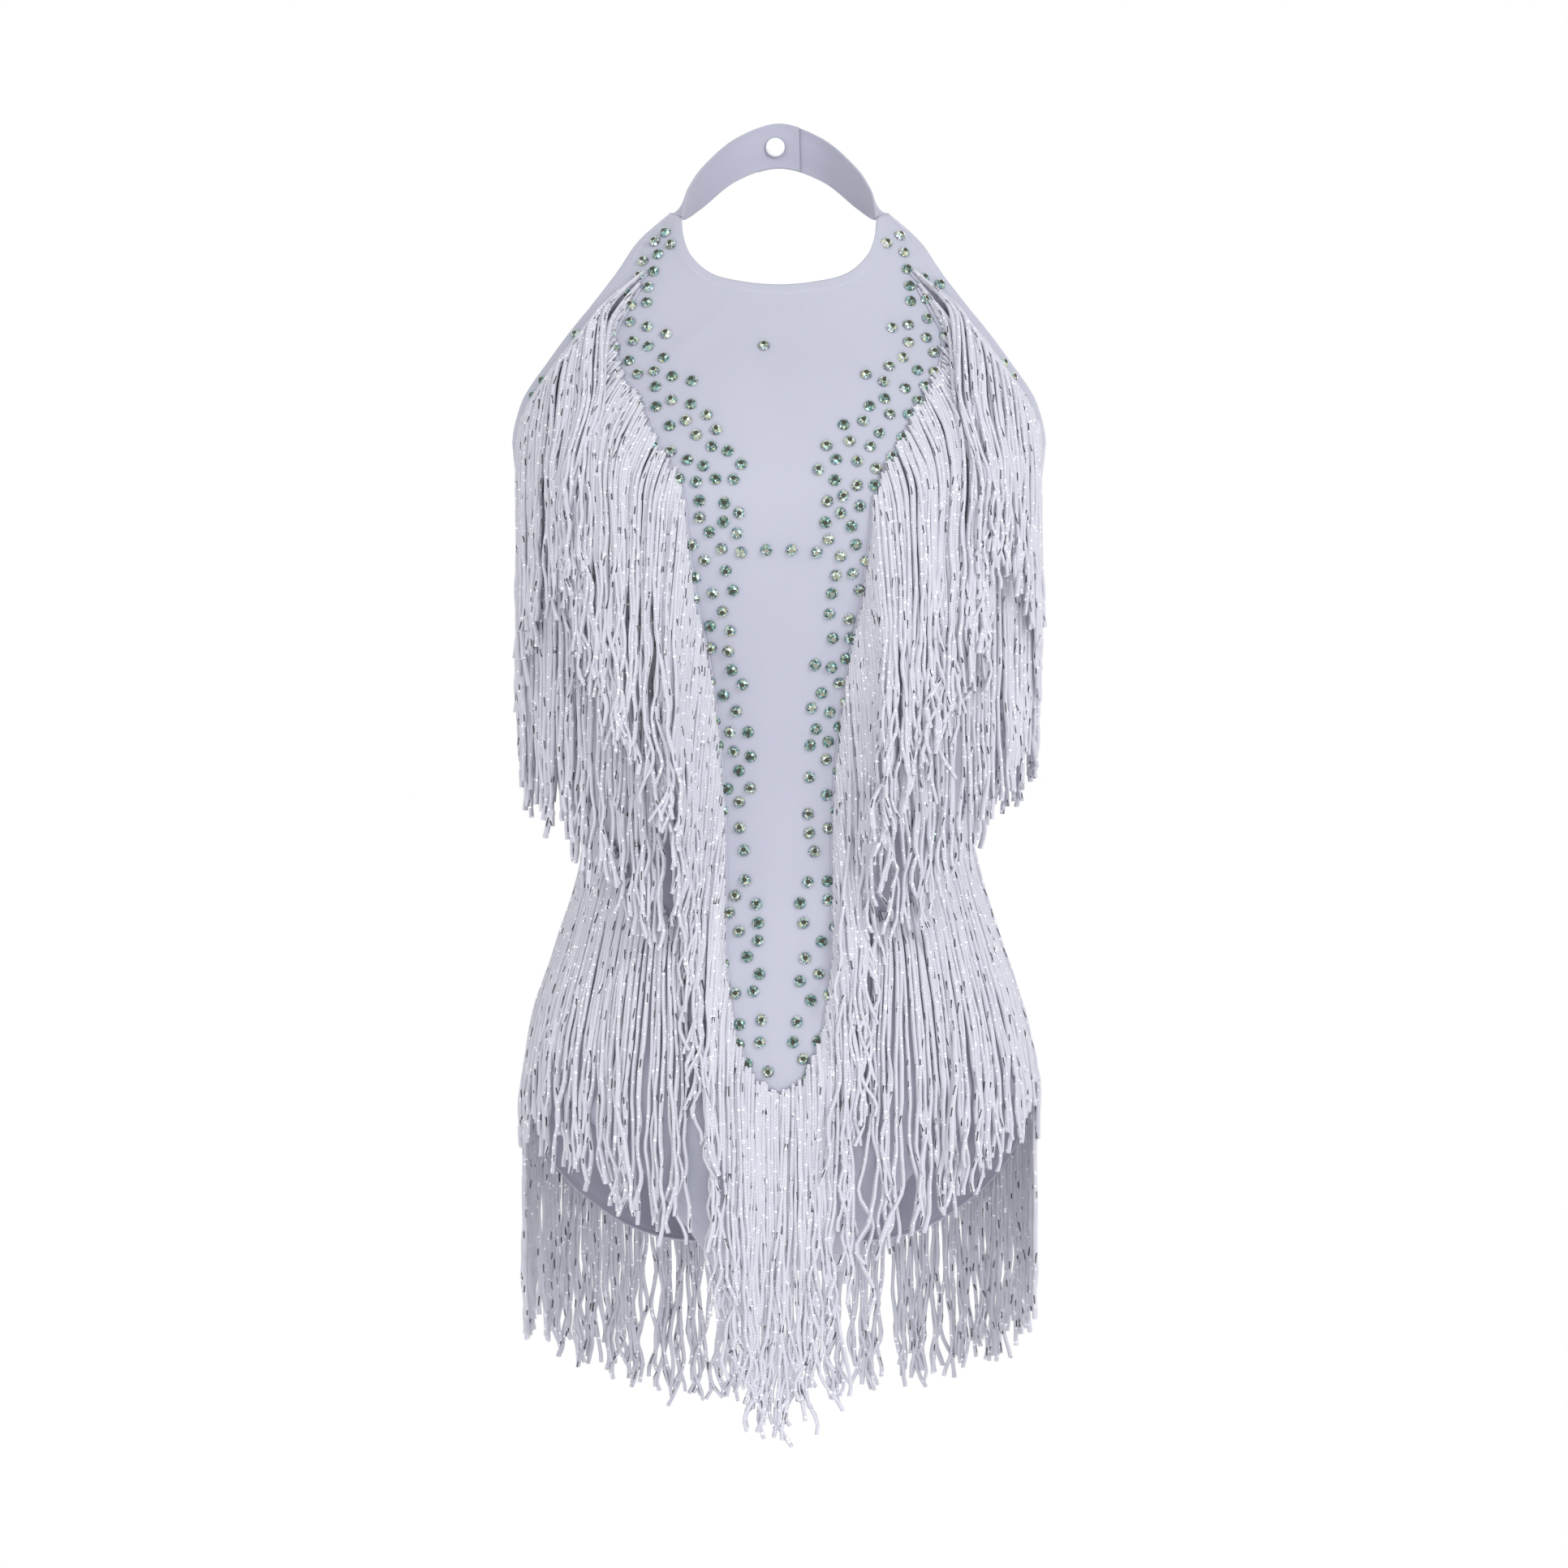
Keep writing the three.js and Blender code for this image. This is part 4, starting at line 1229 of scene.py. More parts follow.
def cordTree():
    # cords from their middle lines: waved, given a braid's flat section and its coordinates
    tree, given, result = nodeGroup(
        "chainetteFringe",
        "GeometryNodeTree",
        [
            ("Geometry", "NodeSocketGeometry", None),
            ("Cord Width", "NodeSocketFloat", 0.0033),
            ("Flatness", "NodeSocketFloat", 0.7),
            ("Sides", "NodeSocketInt", 6),
            ("Step", "NodeSocketFloat", 0.006),
            ("Wave Size", "NodeSocketFloat", 0.003),
            ("Wave Length", "NodeSocketFloat", 0.05),
            ("Finish", "NodeSocketMaterial", None),
        ],
        [("Geometry", "NodeSocketGeometry")],
    )

    def keep(geometry, name, value):
        inputs = {"Geometry": geometry, "Name": name, "Value": value}
        kind = "GeometryNodeStoreNamedAttribute"
        return addNode(tree, kind, inputs, data_type="FLOAT", domain="POINT").outputs[0]

    def wave(offset, seedName="cordSeed"):
        seed = calc(tree, "MULTIPLY_ADD", namedValue(tree, seedName), 731.0, offset)
        at = calc(tree, "ADD", calc(tree, "DIVIDE", alongCord, given["Wave Length"]), seed)
        inputs = {"W": at, "Scale": 1.0, "Detail": 1.0}
        noise = addNode(tree, "ShaderNodeTexNoise", inputs, noise_dimensions="1D").outputs[0]
        return calc(tree, "SUBTRACT", noise, 0.5)

    def stretch(vector, amount):
        inputs = {0: vector, "Scale": amount}
        return addNode(tree, "ShaderNodeVectorMath", inputs, operation="SCALE").outputs[0]

    lines = evenLines(tree, given["Geometry"], given["Step"])
    alongCord = addNode(tree, "GeometryNodeSplineParameter").outputs["Length"]
    lines = keep(lines, "along", alongCord)

    # waves and locks, wider towards the tips
    squared = calc(tree, "MULTIPLY", alongCord, alongCord)
    plain = calc(tree, "MULTIPLY", alongCord, fringeMake["waveStart"])
    grown = calc(tree, "MULTIPLY_ADD", squared, fringeMake["waveGrowth"], plain)
    size = calc(tree, "MULTIPLY", given["Wave Size"], calc(tree, "MINIMUM", grown, fringeMake["waveMost"]))
    lockSize = calc(tree, "MULTIPLY", alongCord, fringeMake["lockSwing"])
    lockSwing = calc(tree, "MULTIPLY", wave(900.0, "lockSeed"), lockSize)
    swing = calc(tree, "MULTIPLY_ADD", wave(0.0), 1.5, lockSwing)
    asideWay = namedValue(tree, "aside", "FLOAT_VECTOR")
    aside = stretch(asideWay, calc(tree, "MULTIPLY", swing, size))
    push = calc(tree, "ADD", wave(300.0), 0.08)
    push = calc(tree, "MULTIPLY", push, calc(tree, "MULTIPLY", size, 0.9))
    outWay = namedValue(tree, "outwards", "FLOAT_VECTOR")
    outwards = stretch(outWay, calc(tree, "MAXIMUM", push, 0.0))
    offset = addNode(tree, "ShaderNodeVectorMath", {0: aside, 1: outwards}, operation="ADD").outputs[0]
    lines = addNode(tree, "GeometryNodeSetPosition", {"Geometry": lines, "Offset": offset}).outputs[0]

    # the flat side faces out, twisted a little, and each tip narrows
    facing = {"Curve": lines, "Normal": outWay}
    lines = addNode(tree, "GeometryNodeSetCurveNormal", facing, mode="FREE").outputs[0]
    twist = {"Curve": lines, "Tilt": calc(tree, "MULTIPLY", wave(600.0), 3.2)}
    lines = addNode(tree, "GeometryNodeSetCurveTilt", twist).outputs[0]
    factor = addNode(tree, "GeometryNodeSplineParameter").outputs["Factor"]
    left = calc(tree, "SUBTRACT", 1.0, factor)
    narrowing = {"Value": left, 1: 0.0, 2: fringeMake["tipLength"], 3: fringeMake["tipWidth"], 4: 1.0}
    tip = addNode(tree, "ShaderNodeMapRange", narrowing).outputs[0]
    lines = addNode(tree, "GeometryNodeSetCurveRadius", {"Curve": lines, "Radius": tip}).outputs[0]

    half = calc(tree, "MULTIPLY", given["Cord Width"], 0.5)
    circle = {"Resolution": given["Sides"], "Radius": half}
    ring = addNode(tree, "GeometryNodeCurvePrimitiveCircle", circle).outputs[0]
    position = addNode(tree, "GeometryNodeInputPosition").outputs[0]
    spot = addNode(tree, "ShaderNodeSeparateXYZ", {0: position}).outputs
    ring = keep(ring, "across", calc(tree, "DIVIDE", spot[0], half))
    flat = addNode(tree, "ShaderNodeCombineXYZ", {0: 1.0, 1: given["Flatness"], 2: 1.0}).outputs[0]
    ring = addNode(tree, "GeometryNodeTransform", {"Geometry": ring, "Scale": flat}).outputs[0]
    section = {"Curve": lines, "Profile Curve": ring, "Fill Caps": True}
    cords = addNode(tree, "GeometryNodeCurveToMesh", section).outputs[0]
    cords = addNode(tree, "GeometryNodeSetShadeSmooth", {"Geometry": cords}).outputs[0]
    return finished(tree, cords, given, result)


chainetteFringe = cordTree()


def runTree(source, tree, settings, name):
    # result of a geometry tree on that object, as a plain mesh
    modifier = source.modifiers.new("tree", "NODES")
    modifier.node_group = tree
    for item in tree.interface.items_tree:
        if item.in_out == "INPUT" and item.name in settings:
            modifier[item.identifier] = settings[item.name]
    source.update_tag()
    graph = bpy.context.evaluated_depsgraph_get()
    made = source.evaluated_get(graph)
    mesh = bpy.data.meshes.new_from_object(made, preserve_all_data_layers=True, depsgraph=graph)
    source.modifiers.remove(modifier)
    bpy.data.objects.remove(source)
    mesh.name = name
    return addObject(name, mesh)


def rowSpots(row, rng):
    # where each cord is sewn: turn, height and hang
    spots = []
    for start, end in zip(row["places"], row["places"][1:]):
        for k in range(start[3]):
            spread = fringeMake["placeSpread"]
            share = (k + 0.5 + rng.uniform(-spread, spread)) / start[3]
            spots.append([start[i] + (end[i] - start[i]) * share for i in range(3)])
    return np.array(spots)


def panelTurn(row, degrees):
    # degrees from the panel's centre to a turn from the centre front
    turn = np.radians(degrees)
    return turn if row["panel"] == "front" else math.pi - turn


def cordLines(row, side, rng):
    # middle lines of a row's cords: they follow the form where it pushes them out,
    # and hang plumb below
    spots = rowSpots(row, rng)
    count = len(spots)
    low, high = fringeMake["layers"][row["layer"]]
    lift = low + (high - low) * rng.permutation(np.linspace(0, 1, count))
    fromSide = smoothStep(fringeMake["sideTurn"] - spots[:, 2], 0, fringeMake["sideReach"])
    lift *= fringeMake["sideLift"] + (1 - fringeMake["sideLift"]) * fromSide
    first, last = row["right"] if side > 0 else row["left"]
    full = np.linspace(first, last, count)
    length = full * (1 + rng.uniform(-fringeMake["lengthSpread"], 0.01, count))
    steps = int(max(first, last) / fringeMake["step"]) + 1
    front = row["panel"] == "front"
    clumps = np.cumsum(rng.uniform(0, 1, count) < 1 / fringeMake["clump"])
    clumpCount = clumps[-1] + 1
    shifts = rng.uniform(-1, 1, (clumpCount, 2))
    ownLean = fringeMake["ownLean"] * rng.uniform(-1, 1, count)
    lean = (shifts[clumps, 0] + ownLean) * fringeMake["clumpLean"]
    length = length * (1 + fringeMake["clumpLength"] * shifts[clumps, 1])
    astray = rng.uniform(0, 1, count) < fringeMake["strays"]
    lean = np.where(astray, rng.choice([-1, 1], count) * fringeMake["strayLean"], lean)
    startTurn, endTurn = panelTurn(row, spots[:, 0]), panelTurn(row, spots[:, 2])
    middles = np.zeros(clumpCount)
    for k in set(clumps.tolist()):
        middles[k] = endTurn[clumps == k].mean()
    top = spots[:, 1] + rng.uniform(0, fringeMake["topSpread"], count)
    reachAt = curveThrough(*zip(*fringeMake["reach"][row["tier"]]))
    radius = np.zeros(count)
    points = np.empty((count, steps, 3))
    outwards = np.empty((count, steps, 3))

    def lieAt(turn, height, raised):
        facing = np.abs((formNormal(turn, height) * outDirection(turn)).sum(-1))
        return np.maximum(radius, formRadius(turn, height) + raised / facing)

    for k in range(steps):
        run = length * k / (steps - 1)
        height = top - run
        turn = startTurn + (endTurn - startTurn) * smoothStep(run, 0, fringeMake["sweep"])
        gathered = fringeMake["gathering"] * (run / full) ** 2
        turn = turn + (middles[clumps] - endTurn) * gathered
        rising = np.minimum(run / fringeMake["liftLength"], 1)
        raised = fringeMake["sewnLift"] + (lift - fringeMake["sewnLift"]) * rising
        leanRoom = 0.3 * np.minimum(np.abs(lean), fringeMake["clumpLean"])
        reach = reachAt(height) - leanRoom
        widest = np.arcsin(np.minimum(reach / lieAt(turn, height, raised), 1))
        limited = np.minimum(turn, widest) if front else np.maximum(turn, math.pi - widest)
        turn = turn + (limited - turn) * smoothStep(run, 0, fringeMake["reachLength"])
        radius = lieAt(turn, height, raised)
        middle = plumbPoint(turn, height, radius)
        asideWay = np.stack([np.cos(turn), np.sin(turn), 0 * turn], axis=-1)
        leaning = lean * (run / full) ** fringeMake["leanPower"]
        points[:, k] = middle + asideWay * leaning[:, None]
        outwards[:, k] = outDirection(turn)
    points[..., 0] *= side
    outwards[..., 0] *= side
    seeds = rng.uniform(0, 1, count)
    lockSeeds = rng.uniform(0, 1, clumpCount)[clumps] + 0.01 * seeds
    return points, outwards, seeds, lockSeeds


def outDirection(turn):
    return np.stack([np.sin(turn), -np.cos(turn), 0 * turn], axis=-1)


def linesObject(name, points, outwards, seeds, lockSeeds):
    count, steps = points.shape[:2]
    index = np.arange(count * steps).reshape(count, steps)
    edges = np.stack([index[:, :-1], index[:, 1:]], axis=-1).reshape(-1, 2)
    mesh = bpy.data.meshes.new(name)
    mesh.from_pydata(points.reshape(-1, 3).tolist(), edges.tolist(), [])
    aside = np.stack([-outwards[..., 1], outwards[..., 0], 0 * outwards[..., 0]], axis=-1)
    storeValues(mesh, "outwards", outwards, "FLOAT_VECTOR")
    storeValues(mesh, "aside", aside, "FLOAT_VECTOR")
    storeValues(mesh, "cordSeed", np.repeat(seeds, steps))
    storeValues(mesh, "lockSeed", np.repeat(lockSeeds, steps))
    return addObject(name, mesh)


def makeFringe(name, row, side, seed):
    rng = np.random.default_rng(seed)
    source = linesObject(name + "_lines", *cordLines(row, side, rng))
    settings = {
        "Cord Width": fringeMake["cordWidth"],
        "Flatness": fringeMake["flatness"],
        "Sides": fringeMake["sides"],
        "Step": fringeMake["step"],
        "Wave Size": fringeMake["waveSize"],
        "Wave Length": fringeMake["waveLength"],
        "Finish": chainette,
    }
    return runTree(source, chainetteFringe, settings, name)


def makeTape(name, row, side):
    # narrow tape under the roots of a row's cords, just off the cloth
    turns, heights = [], []
    shares = np.linspace(0, 1, fringeMake["tapeSteps"] + 1)[:-1]
    for start, end in zip(row["places"], row["places"][1:]):
        turns.extend(start[0] + (end[0] - start[0]) * shares)
        heights.extend(start[1] + (end[1] - start[1]) * shares)
    turns, heights = panelTurn(row, np.array(turns)), np.array(heights)
    normal = formNormal(turns, heights)
    middle = formPoint(turns, heights)
    along = np.gradient(middle, axis=0)
    wide = np.cross(along, normal)
    wide *= fringeMake["tapeWidth"] / 2 / np.linalg.norm(wide, axis=1, keepdims=True)
    lift = normal * fringeMake["tapeLift"]
    crown = np.array([-1, -0.6, 0, 0.6, 1])[None, :, None]
    points = middle[:, None] + wide[:, None] * crown + lift[:, None] * (1 - 0.35 * crown**2)
    points[..., 0] *= side
    if side < 0:
        points = points[:, ::-1]
    lengths = np.concatenate([[0], np.cumsum(np.linalg.norm(np.diff(middle, axis=0), axis=1))])
    lengths, across = np.meshgrid(lengths, crown.ravel() * fringeMake["tapeWidth"] / 2, indexing="ij")
    tape = gridMesh(name, points, np.stack([lengths, across], axis=-1), satin)
    return giveThickness(tape, fringeMake["tapeThickness"])


fringes, tapes = {}, {}
for order, (rowName, row) in enumerate(fringeRows.items()):
    for side, sideName in ((1, "right"), (-1, "left")):
        name = f"{rowName}_{sideName}"
        fringes[name] = makeFringe(name + "_cords", row, side, 40 + 2 * order + (side > 0))
        tapes[name] = makeTape(name + "_tape", row, side)
cordCount = sum(place[3] for row in fringeRows.values() for place in row["places"])
print("fringe made:", 2 * cordCount, "cords")


stoneMake = {
    "diameter": 0.0072,
    "height": 0.0027,
    "gap": 0.0004,
    "most": 120,  # tries for each stone
    # bands of stones: their middle line by distance aside and height, then their half
    # width, number of stones and least spacing
    "bands": [
        ([(0.0675, -0.064), (0.074, -0.077), (0.084, -0.098)], 0.0055, 13, 0.0084),
        (
            [(0.092, -0.096), (0.107, -0.115), (0.122, -0.133), (0.136, -0.151), (0.147, -0.168)],
            0.004, 11, 0.0095,
        ),
        ([(0.084, -0.104), (0.102, -0.128), (0.118, -0.148)], 0.007, 10, 0.0095),
        (
            [(0.097, -0.126), (0.090, -0.148), (0.074, -0.172), (0.052, -0.200), (0.032, -0.226)],
            0.019, 58, 0.0098,
        ),
        ([(0.034, -0.232), (0.040, -0.262), (0.038, -0.292)], 0.013, 15, 0.0098),
        ([(0.036, -0.296), (0.030, -0.345), (0.026, -0.400), (0.030, -0.446)], 0.0105, 26, 0.0100),
        ([(0.028, -0.452), (0.022, -0.478), (0.026, -0.505), (0.020, -0.530)], 0.0125, 15, 0.0105),
        ([(0.018, -0.542), (0.014, -0.580)], 0.0085, 7, 0.0115),
        ([(0.084, -0.398), (0.092, -0.430), (0.086, -0.470)], 0.009, 7, 0.0130),
    ],
    "belt": {"reach": 0.0225, "height": -0.262, "sag": 0.0015, "count": 4},
    "backBands": [
        (
            [(0.150, -0.213), (0.138, -0.227), (0.106, -0.2605), (0.058, -0.2965), (0.005, -0.3075)],
            0.0008, 15, 0.0102,
        ),
        ([(0.008, -0.345), (0.014, -0.400), (0.010, -0.464)], 0.0090, 18, 0.0110),
    ],
    "lone": [(-0.009, -0.138), (0.068, -0.126), (0.052, -0.156)],
    "loneDrop": 0.004,  # of the lone stones' partners on the left
    # rings of the cut from the flat back up: radius, share of the height, corners, shift
    "rings": [(0.47, 0.0, 16, 0), (0.50, 0.10, 16, 0), (0.37, 0.72, 8, 0.5), (0.21, 1.0, 8, 0)],
    # lowest tone of each kind of facet, and its spread; the tone sets the facet's hue and its painted
    # reflection, dark for the table
    "hueAndPaintedReflectionTones": {
        "back": (0.97, 0.0),
        "side": (0.28, 0.40),
        "crown": (0.20, 0.50),
        "star": (0.05, 0.40),
        "table": (0.01, 0.05),
    },
}


def stoneTree():
    # a cut stone on every point, turned to the cloth
    tree, given, result = nodeGroup(
        "setStones",
        "GeometryNodeTree",
        [
            ("Geometry", "NodeSocketGeometry", None),
            ("Stone", "NodeSocketObject", None),
            ("Size", "NodeSocketFloat", 0.007),
            ("Finish", "NodeSocketMaterial", None),
        ],
        [("Geometry", "NodeSocketGeometry")],
    )
    stone = addNode(tree, "GeometryNodeObjectInfo", {"Object": given["Stone"]}).outputs["Geometry"]
    facing = {"Vector": namedValue(tree, "facing", "FLOAT_VECTOR")}
    turned = addNode(tree, "FunctionNodeAlignRotationToVector", facing, axis="Z").outputs[0]
    spin = addNode(tree, "ShaderNodeCombineXYZ", {2: namedValue(tree, "spin")}).outputs[0]
    spinning = {"Rotation": turned, "Rotate By": spin}
    spun = addNode(tree, "FunctionNodeRotateRotation", spinning, rotation_space="LOCAL").outputs[0]
    setting = {"Points": given["Geometry"], "Instance": stone, "Rotation": spun, "Scale": given["Size"]}
    stones = addNode(tree, "GeometryNodeInstanceOnPoints", setting).outputs[0]
    return finished(tree, stones, given, result)


def cutStone():
    # flat-backed stone one unit across, with a tone for each facet that sets its hue and painted reflection
    rise = stoneMake["height"] / stoneMake["diameter"]
    body = bmesh.new()
    tone = body.faces.layers.float.new("facetHueAndPaintedReflection")
    made = []
    for radius, level, count, shift in stoneMake["rings"]:
        ring = []
        for k in range(count):
            angle = 2 * math.pi * (k + shift) / count
            ring.append(body.verts.new((radius * math.cos(angle), radius * math.sin(angle), level * rise)))
        made.append(ring)
    rng = np.random.default_rng(5)

    def facet(kind, corners):
        low, spread = stoneMake["hueAndPaintedReflectionTones"][kind]
        body.faces.new(corners)[tone] = low + spread * rng.uniform(0, 1)

    base, girdle, crown, table = made
    sides, half = len(girdle), len(table)
    facet("back", base[::-1])
    for k in range(sides):
        n = (k + 1) % sides
        facet("side", [base[k], base[n], girdle[n], girdle[k]])
    for k in range(half):
        n = (k + 1) % half
        facet("crown", [girdle[2 * k], girdle[2 * k + 1], crown[k]])
        facet("crown", [girdle[2 * k + 1], girdle[(2 * k + 2) % sides], crown[k]])
        facet("crown", [crown[k], girdle[(2 * k + 2) % sides], crown[n]])
        facet("star", [table[k], crown[k], table[n]])
        facet("star", [crown[k], crown[n], table[n]])
    facet("table", table)
    bmesh.ops.recalc_face_normals(body, faces=body.faces)
    mesh = bpy.data.meshes.new("cutStone")
    body.to_mesh(mesh)
    body.free()
    return addObject("cutStone", mesh)


def scatterBand(line, halfWidth, count, spacing, taken, rng):
    # stones kept apart within a band, as they are set by hand
    line = np.array(line)
    lengths = np.linalg.norm(np.diff(line, axis=0), axis=1)
    along = np.concatenate([[0], np.cumsum(lengths)])
    placed = 0
    for _ in range(count * stoneMake["most"]):
        if placed == count:
            return
        at = rng.uniform(0, along[-1])
        k = min(np.searchsorted(along, at, side="right") - 1, len(lengths) - 1)
        way = (line[k + 1] - line[k]) / lengths[k]
        across = np.array([way[1], -way[0]]) * rng.uniform(-halfWidth, halfWidth)
        spot = line[k] + way * (at - along[k]) + across
        if all(math.dist(spot, other) > spacing for other in taken):
            taken.append(tuple(spot))
            placed += 1


def stonePlaces(rng):
    # turn and height of every stone, front and back
    belt = stoneMake["belt"]
    beltSpan = np.linspace(-belt["reach"], belt["reach"], belt["count"])
    alone = [(x, belt["height"] - belt["sag"] * (x / belt["reach"]) ** 2) for x in beltSpan]
    partners = [(-x, z - stoneMake["loneDrop"]) for x, z in stoneMake["lone"][1:]]
    alone = np.array(alone + stoneMake["lone"] + partners)
    turns, heights = [turnAtSpan(alone[:, 0], alone[:, 1])], [alone[:, 1]]
    for side in (1, -1):
        for onBack, bands in ((False, stoneMake["bands"]), (True, stoneMake["backBands"])):
            taken = [] if onBack else [(x * side, z) for x, z in alone]
            first = len(taken)
            for line, halfWidth, count, spacing in bands:
                scatterBand(line, halfWidth, count, spacing, taken, rng)
            spots = np.array(taken[first:])
            turns.append(turnAtSpan(spots[:, 0] * side, spots[:, 1], onBack))
            heights.append(spots[:, 1])
    return np.concatenate(turns), np.concatenate(heights)


def makeStones():
    rng = np.random.default_rng(23)
    turns, heights = stonePlaces(rng)
    points = formPoint(turns, heights, stoneMake["gap"])
    mesh = bpy.data.meshes.new("stonePlaces")
    mesh.from_pydata(points.tolist(), [], [])
    storeValues(mesh, "facing", formNormal(turns, heights), "FLOAT_VECTOR")
    storeValues(mesh, "spin", rng.uniform(0, 2 * math.pi, len(points)))
    storeValues(mesh, "stoneTone", rng.uniform(0, 1.0, len(points)))
    source = addObject("stonePlaces", mesh)
    stone = cutStone()
    settings = {"Stone": stone, "Size": stoneMake["diameter"], "Finish": crystal}
    piece = runTree(source, stoneTree(), settings, "rhinestones")
    bpy.data.objects.remove(stone)
    return piece, len(points)


stones, stoneCount = makeStones()
print("crystals set:", stoneCount)


stitchMake = {
    "pitch": 0.0026,
    "length": 0.0019,
    "radius": 0.00022,
    "fromEdge": 0.0058,
    "fromSeam": 0.003,
    "columnsIn": 10,  # of the grid, to find the way in from an edge
    "rowsIn": 12,
    "endsLeft": 3,
}


def stitchTree():
    # a row of short stitches along each line
    tree, given, result = nodeGroup(
        "stitchRow",
        "GeometryNodeTree",
        [
            ("Geometry", "NodeSocketGeometry", None),
            ("Pitch", "NodeSocketFloat", 0.0026),
            ("Length", "NodeSocketFloat", 0.0019),
            ("Radius", "NodeSocketFloat", 0.0002),
            ("Finish", "NodeSocketMaterial", None),
        ],
        [("Geometry", "NodeSocketGeometry")],
    )
    lines = evenLines(tree, given["Geometry"], given["Pitch"])
    tangent = addNode(tree, "GeometryNodeInputTangent").outputs[0]
    turned = addNode(tree, "FunctionNodeAlignRotationToVector", {"Vector": tangent}, axis="X").outputs[0]
    half = calc(tree, "MULTIPLY", given["Length"], 0.5)
    end = addNode(tree, "ShaderNodeCombineXYZ", {0: half}).outputs[0]
    start = addNode(tree, "ShaderNodeCombineXYZ", {0: calc(tree, "MULTIPLY", half, -1.0)}).outputs[0]
    line = addNode(tree, "GeometryNodeCurvePrimitiveLine", {"Start": start, "End": end}).outputs[0]
    circle = {"Resolution": 5, "Radius": given["Radius"]}
    ring = addNode(tree, "GeometryNodeCurvePrimitiveCircle", circle).outputs[0]
    section = {"Curve": line, "Profile Curve": ring, "Fill Caps": True}
    stitch = addNode(tree, "GeometryNodeCurveToMesh", section).outputs[0]
    sewing = {"Points": lines, "Instance": stitch, "Rotation": turned}
    stitches = addNode(tree, "GeometryNodeInstanceOnPoints", sewing).outputs[0]
    return finished(tree, stitches, given, result)


def insideEdge(points, towards, distance):
    # line on the cloth that distance in from an edge; towards holds the next points inwards
    way = towards - points
    length = np.linalg.norm(way, axis=1, keepdims=True)
    return points + way / np.maximum(length, 1e-6) * distance


def makeStitches():
    inset, rowsIn, ends = stitchMake["fromEdge"], stitchMake["rowsIn"], stitchMake["endsLeft"]
    lines = []
    for base, points, make in ((frontBase, frontPoints, frontMake), (backBase, backPoints, backMake)):
        aside, clear = base[0, :, 0], make["legEdge"][0][0] + stitchMake["fromSeam"]
        leg = insideEdge(points[0], points[rowsIn], inset)
        lines.extend([leg[aside < -clear], leg[aside > clear]])
        lines.append(insideEdge(points[-1], points[-1 - rowsIn], inset)[ends:-ends])
    armhole = frontBase[:, 0, 2] > bodyForm["underarm"] - 0.001
    columnsIn = stitchMake["columnsIn"]
    for column, inner in ((0, columnsIn), (-1, -1 - columnsIn)):
        lines.append(insideEdge(frontPoints[:, column], frontPoints[:, inner], inset)[armhole])
    vertices, edges = [], []
    for line in lines:
        start = len(vertices)
        vertices.extend(line.tolist())
        edges.extend([start + k, start + k + 1] for k in range(len(line) - 1))
    mesh = bpy.data.meshes.new("stitchLines")
    mesh.from_pydata(vertices, edges, [])
    settings = {
        "Pitch": stitchMake["pitch"],
        "Length": stitchMake["length"],
        "Radius": stitchMake["radius"],
        "Finish": sewingThread,
    }
    return runTree(addObject("stitchLines", mesh), stitchTree(), settings, "hem_stitches")


stitches = makeStitches()
print("hems stitched")


# what each piece rides on and stands for in the frame
for node, piece in (
    ("front", frontCloth),
    ("back", backCloth),
    ("gusset", gussetCloth),
    ("neck_band_left", bandLeft),
    ("neck_band_right", bandRight),
    ("snap_cap_inner", snapInner),
    ("snap_cap_outer", snapOuter),
    *fringes.items(),
):
    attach(piece, "root")
    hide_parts(node)
for piece in (stones, stitches, *tapes.values()):
    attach(piece, "root")

# widths and lengths of the flat cuts, and their areas
cuts = {
    "front": {"piece": frontCloth, "flat": (0.41, 0.66), "area": 0.201, "panel": "front"},
    "back": {"piece": backCloth, "flat": (0.445, 0.52), "area": 0.157, "panel": "back"},
    "gusset": {"piece": gussetCloth, "flat": (0.094, 0.142), "area": 0.0104},
    "bandLeft": {"piece": bandLeft, "flat": (0.029, 0.125), "area": 0.0031},
    "bandRight": {"piece": bandRight, "flat": (0.029, 0.125), "area": 0.0031},
}
for cut in cuts.values():
    sewnOn = []
    for name in fringes:
        row = fringeRows[name.rsplit("_", 1)[0]]
        if row["panel"] == cut.get("panel"):
            sewnOn += [fringes[name], tapes[name]]


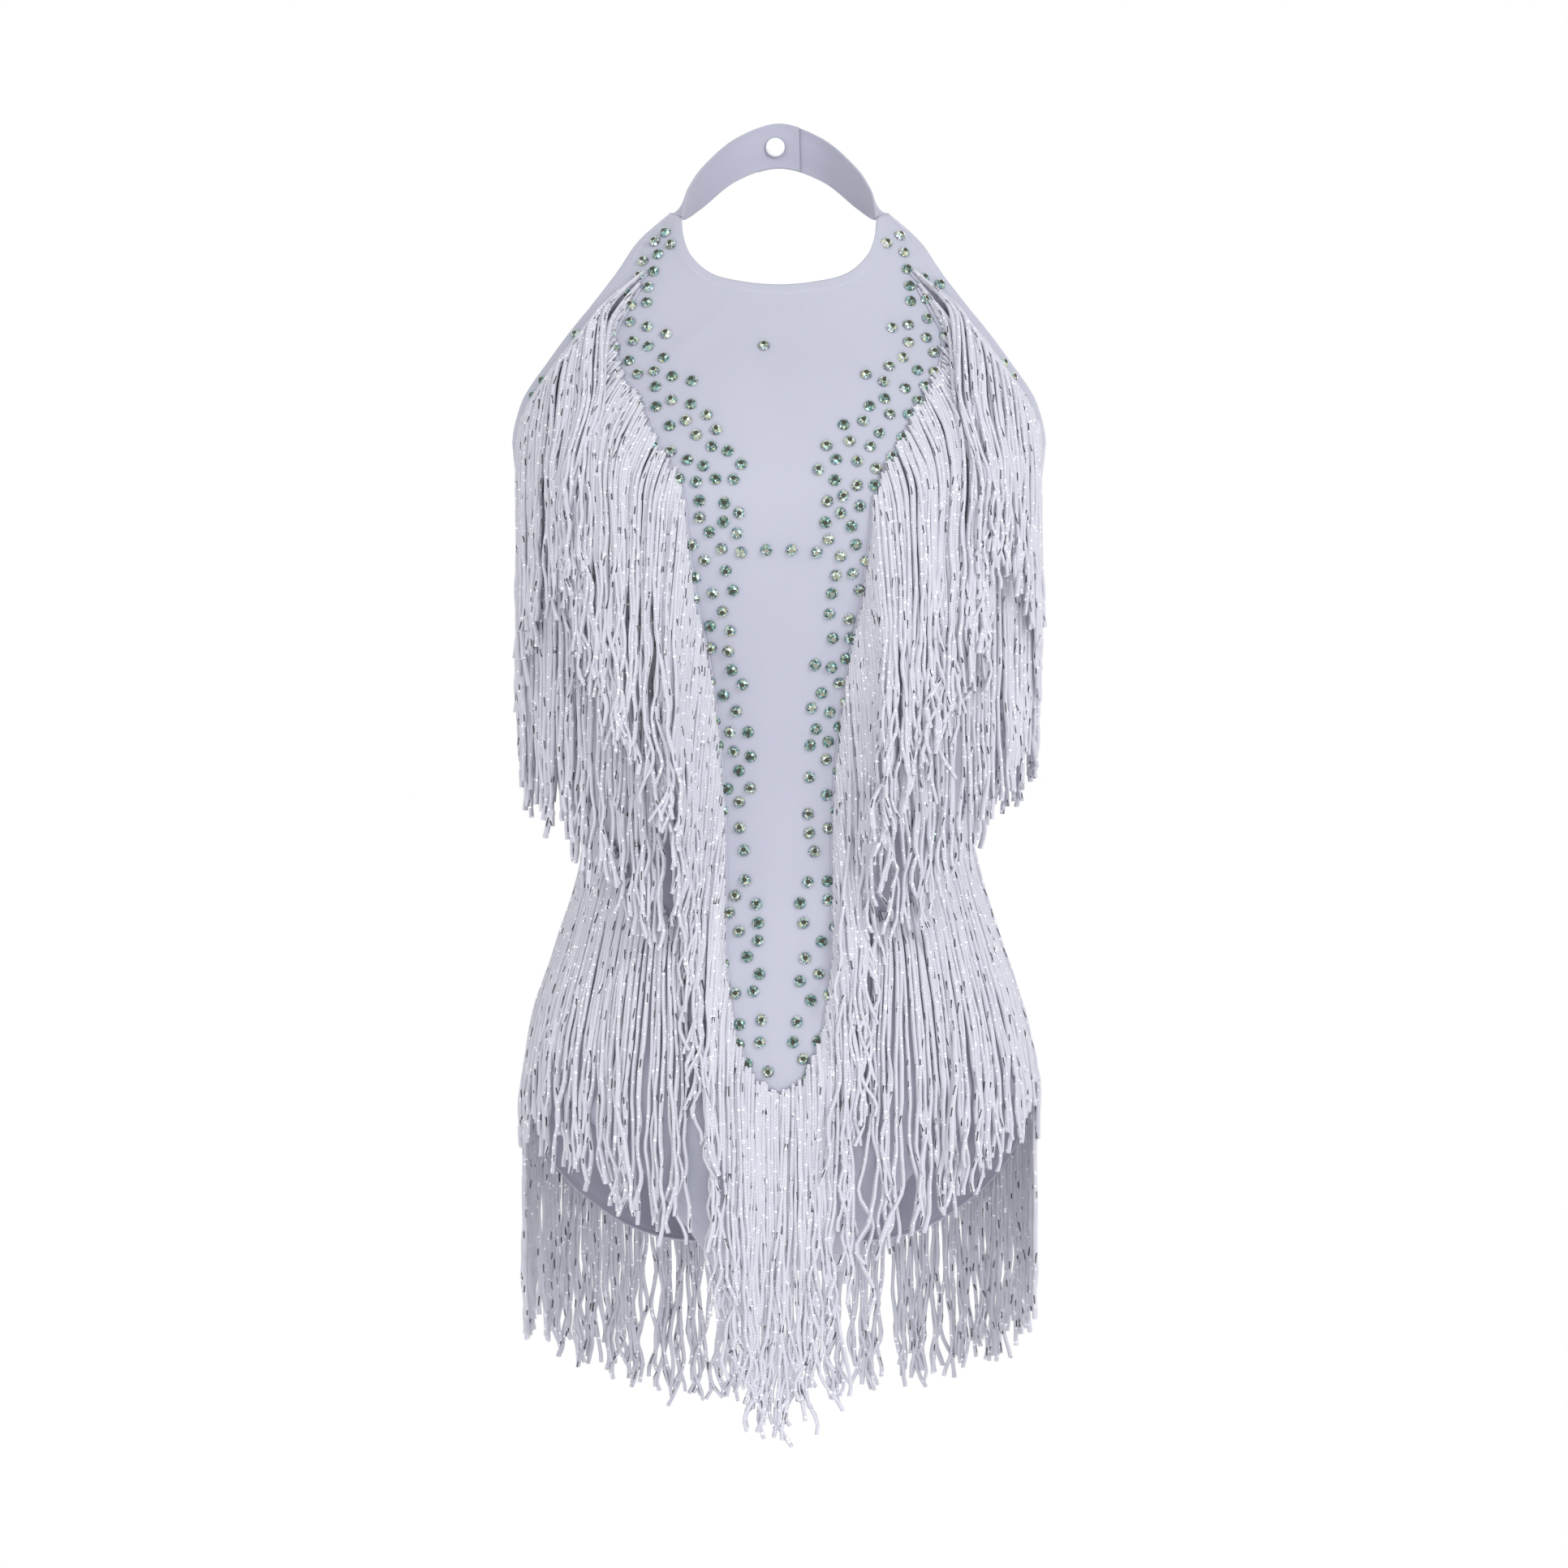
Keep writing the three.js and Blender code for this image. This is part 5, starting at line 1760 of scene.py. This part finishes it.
studio = {
    "eye": (0.003, -2.855, -0.4007),
    "lens": 104.35,
    "sensor": 36,
    "floorLevel": -1.28,
    "floorHalf": 2.0,
    "floorDark": (0.84, 0.84, 0.85),
    "floorLight": (0.88, 0.88, 0.88),
    "skyStrength": 0.92,
    # place, size in metres, power in watts
    "lamps": [
        ((1.7, -2.0, 0.9), 0.9, 25),
        ((-1.8, -2.4, 0.6), 1.4, 8),
        ((0.3, 2.2, 0.2), 1.8, 16),
        ((0.2, -1.7, -1.2), 0.8, 8),
    ],
    "target": (0, -0.055, -0.38),
}


def makeStudio():
    floorMesh = bpy.data.meshes.new("floor")
    half, level = studio["floorHalf"], studio["floorLevel"]
    corners = [(-half, -half, level), (half, -half, level), (half, half, level), (-half, half, level)]
    floorMesh.from_pydata(corners, [], [(0, 1, 2, 3)])
    floor = addObject("floor", floorMesh)
    material, tree, shader = newMaterial("paleFloor")
    place = addNode(tree, "ShaderNodeTexCoord").outputs["Object"]
    cloud = addNode(tree, "ShaderNodeTexNoise", {"Vector": place, "Scale": 3.0}).outputs[0]
    color = mixColor(tree, cloud, studio["floorDark"], studio["floorLight"])
    feed(tree, shader.inputs, {"Base Color": color, "Roughness": 0.9})
    floorMesh.materials.append(material)

    world = bpy.data.worlds.new("whiteStudio")
    world.use_nodes = True
    bpy.context.scene.world = world
    tree = world.node_tree
    background = tree.nodes["Background"]
    seen = addNode(tree, "ShaderNodeLightPath").outputs["Is Camera Ray"]
    sky = studio["skyStrength"]
    strength = calc(tree, "MULTIPLY_ADD", seen, 1.0 - sky, sky)
    feed(tree, background.inputs, {"Color": (1, 1, 1, 1), "Strength": strength})

    target = np.array(studio["target"])
    for k, (place, size, power) in enumerate(studio["lamps"]):
        light = bpy.data.lights.new(f"lamp{k}", "AREA")
        light.shape, light.size, light.energy = "SQUARE", size, power
        lamp = addObject(f"lamp{k}", light)
        lamp.location = place
        way = target - np.array(place)
        tilt = math.acos(-way[2] / np.linalg.norm(way))
        lamp.rotation_euler = (tilt, 0, math.atan2(-way[0], way[1]))

    camera = bpy.data.cameras.new("camera")
    camera.lens, camera.sensor_width = studio["lens"], studio["sensor"]
    eye = addObject("camera", camera)
    eye.location = studio["eye"]
    eye.rotation_euler = (math.pi / 2, 0, 0)
    bpy.context.scene.camera = eye


makeStudio()
bpy.context.scene.view_settings.view_transform = "Standard"
print("studio ready")
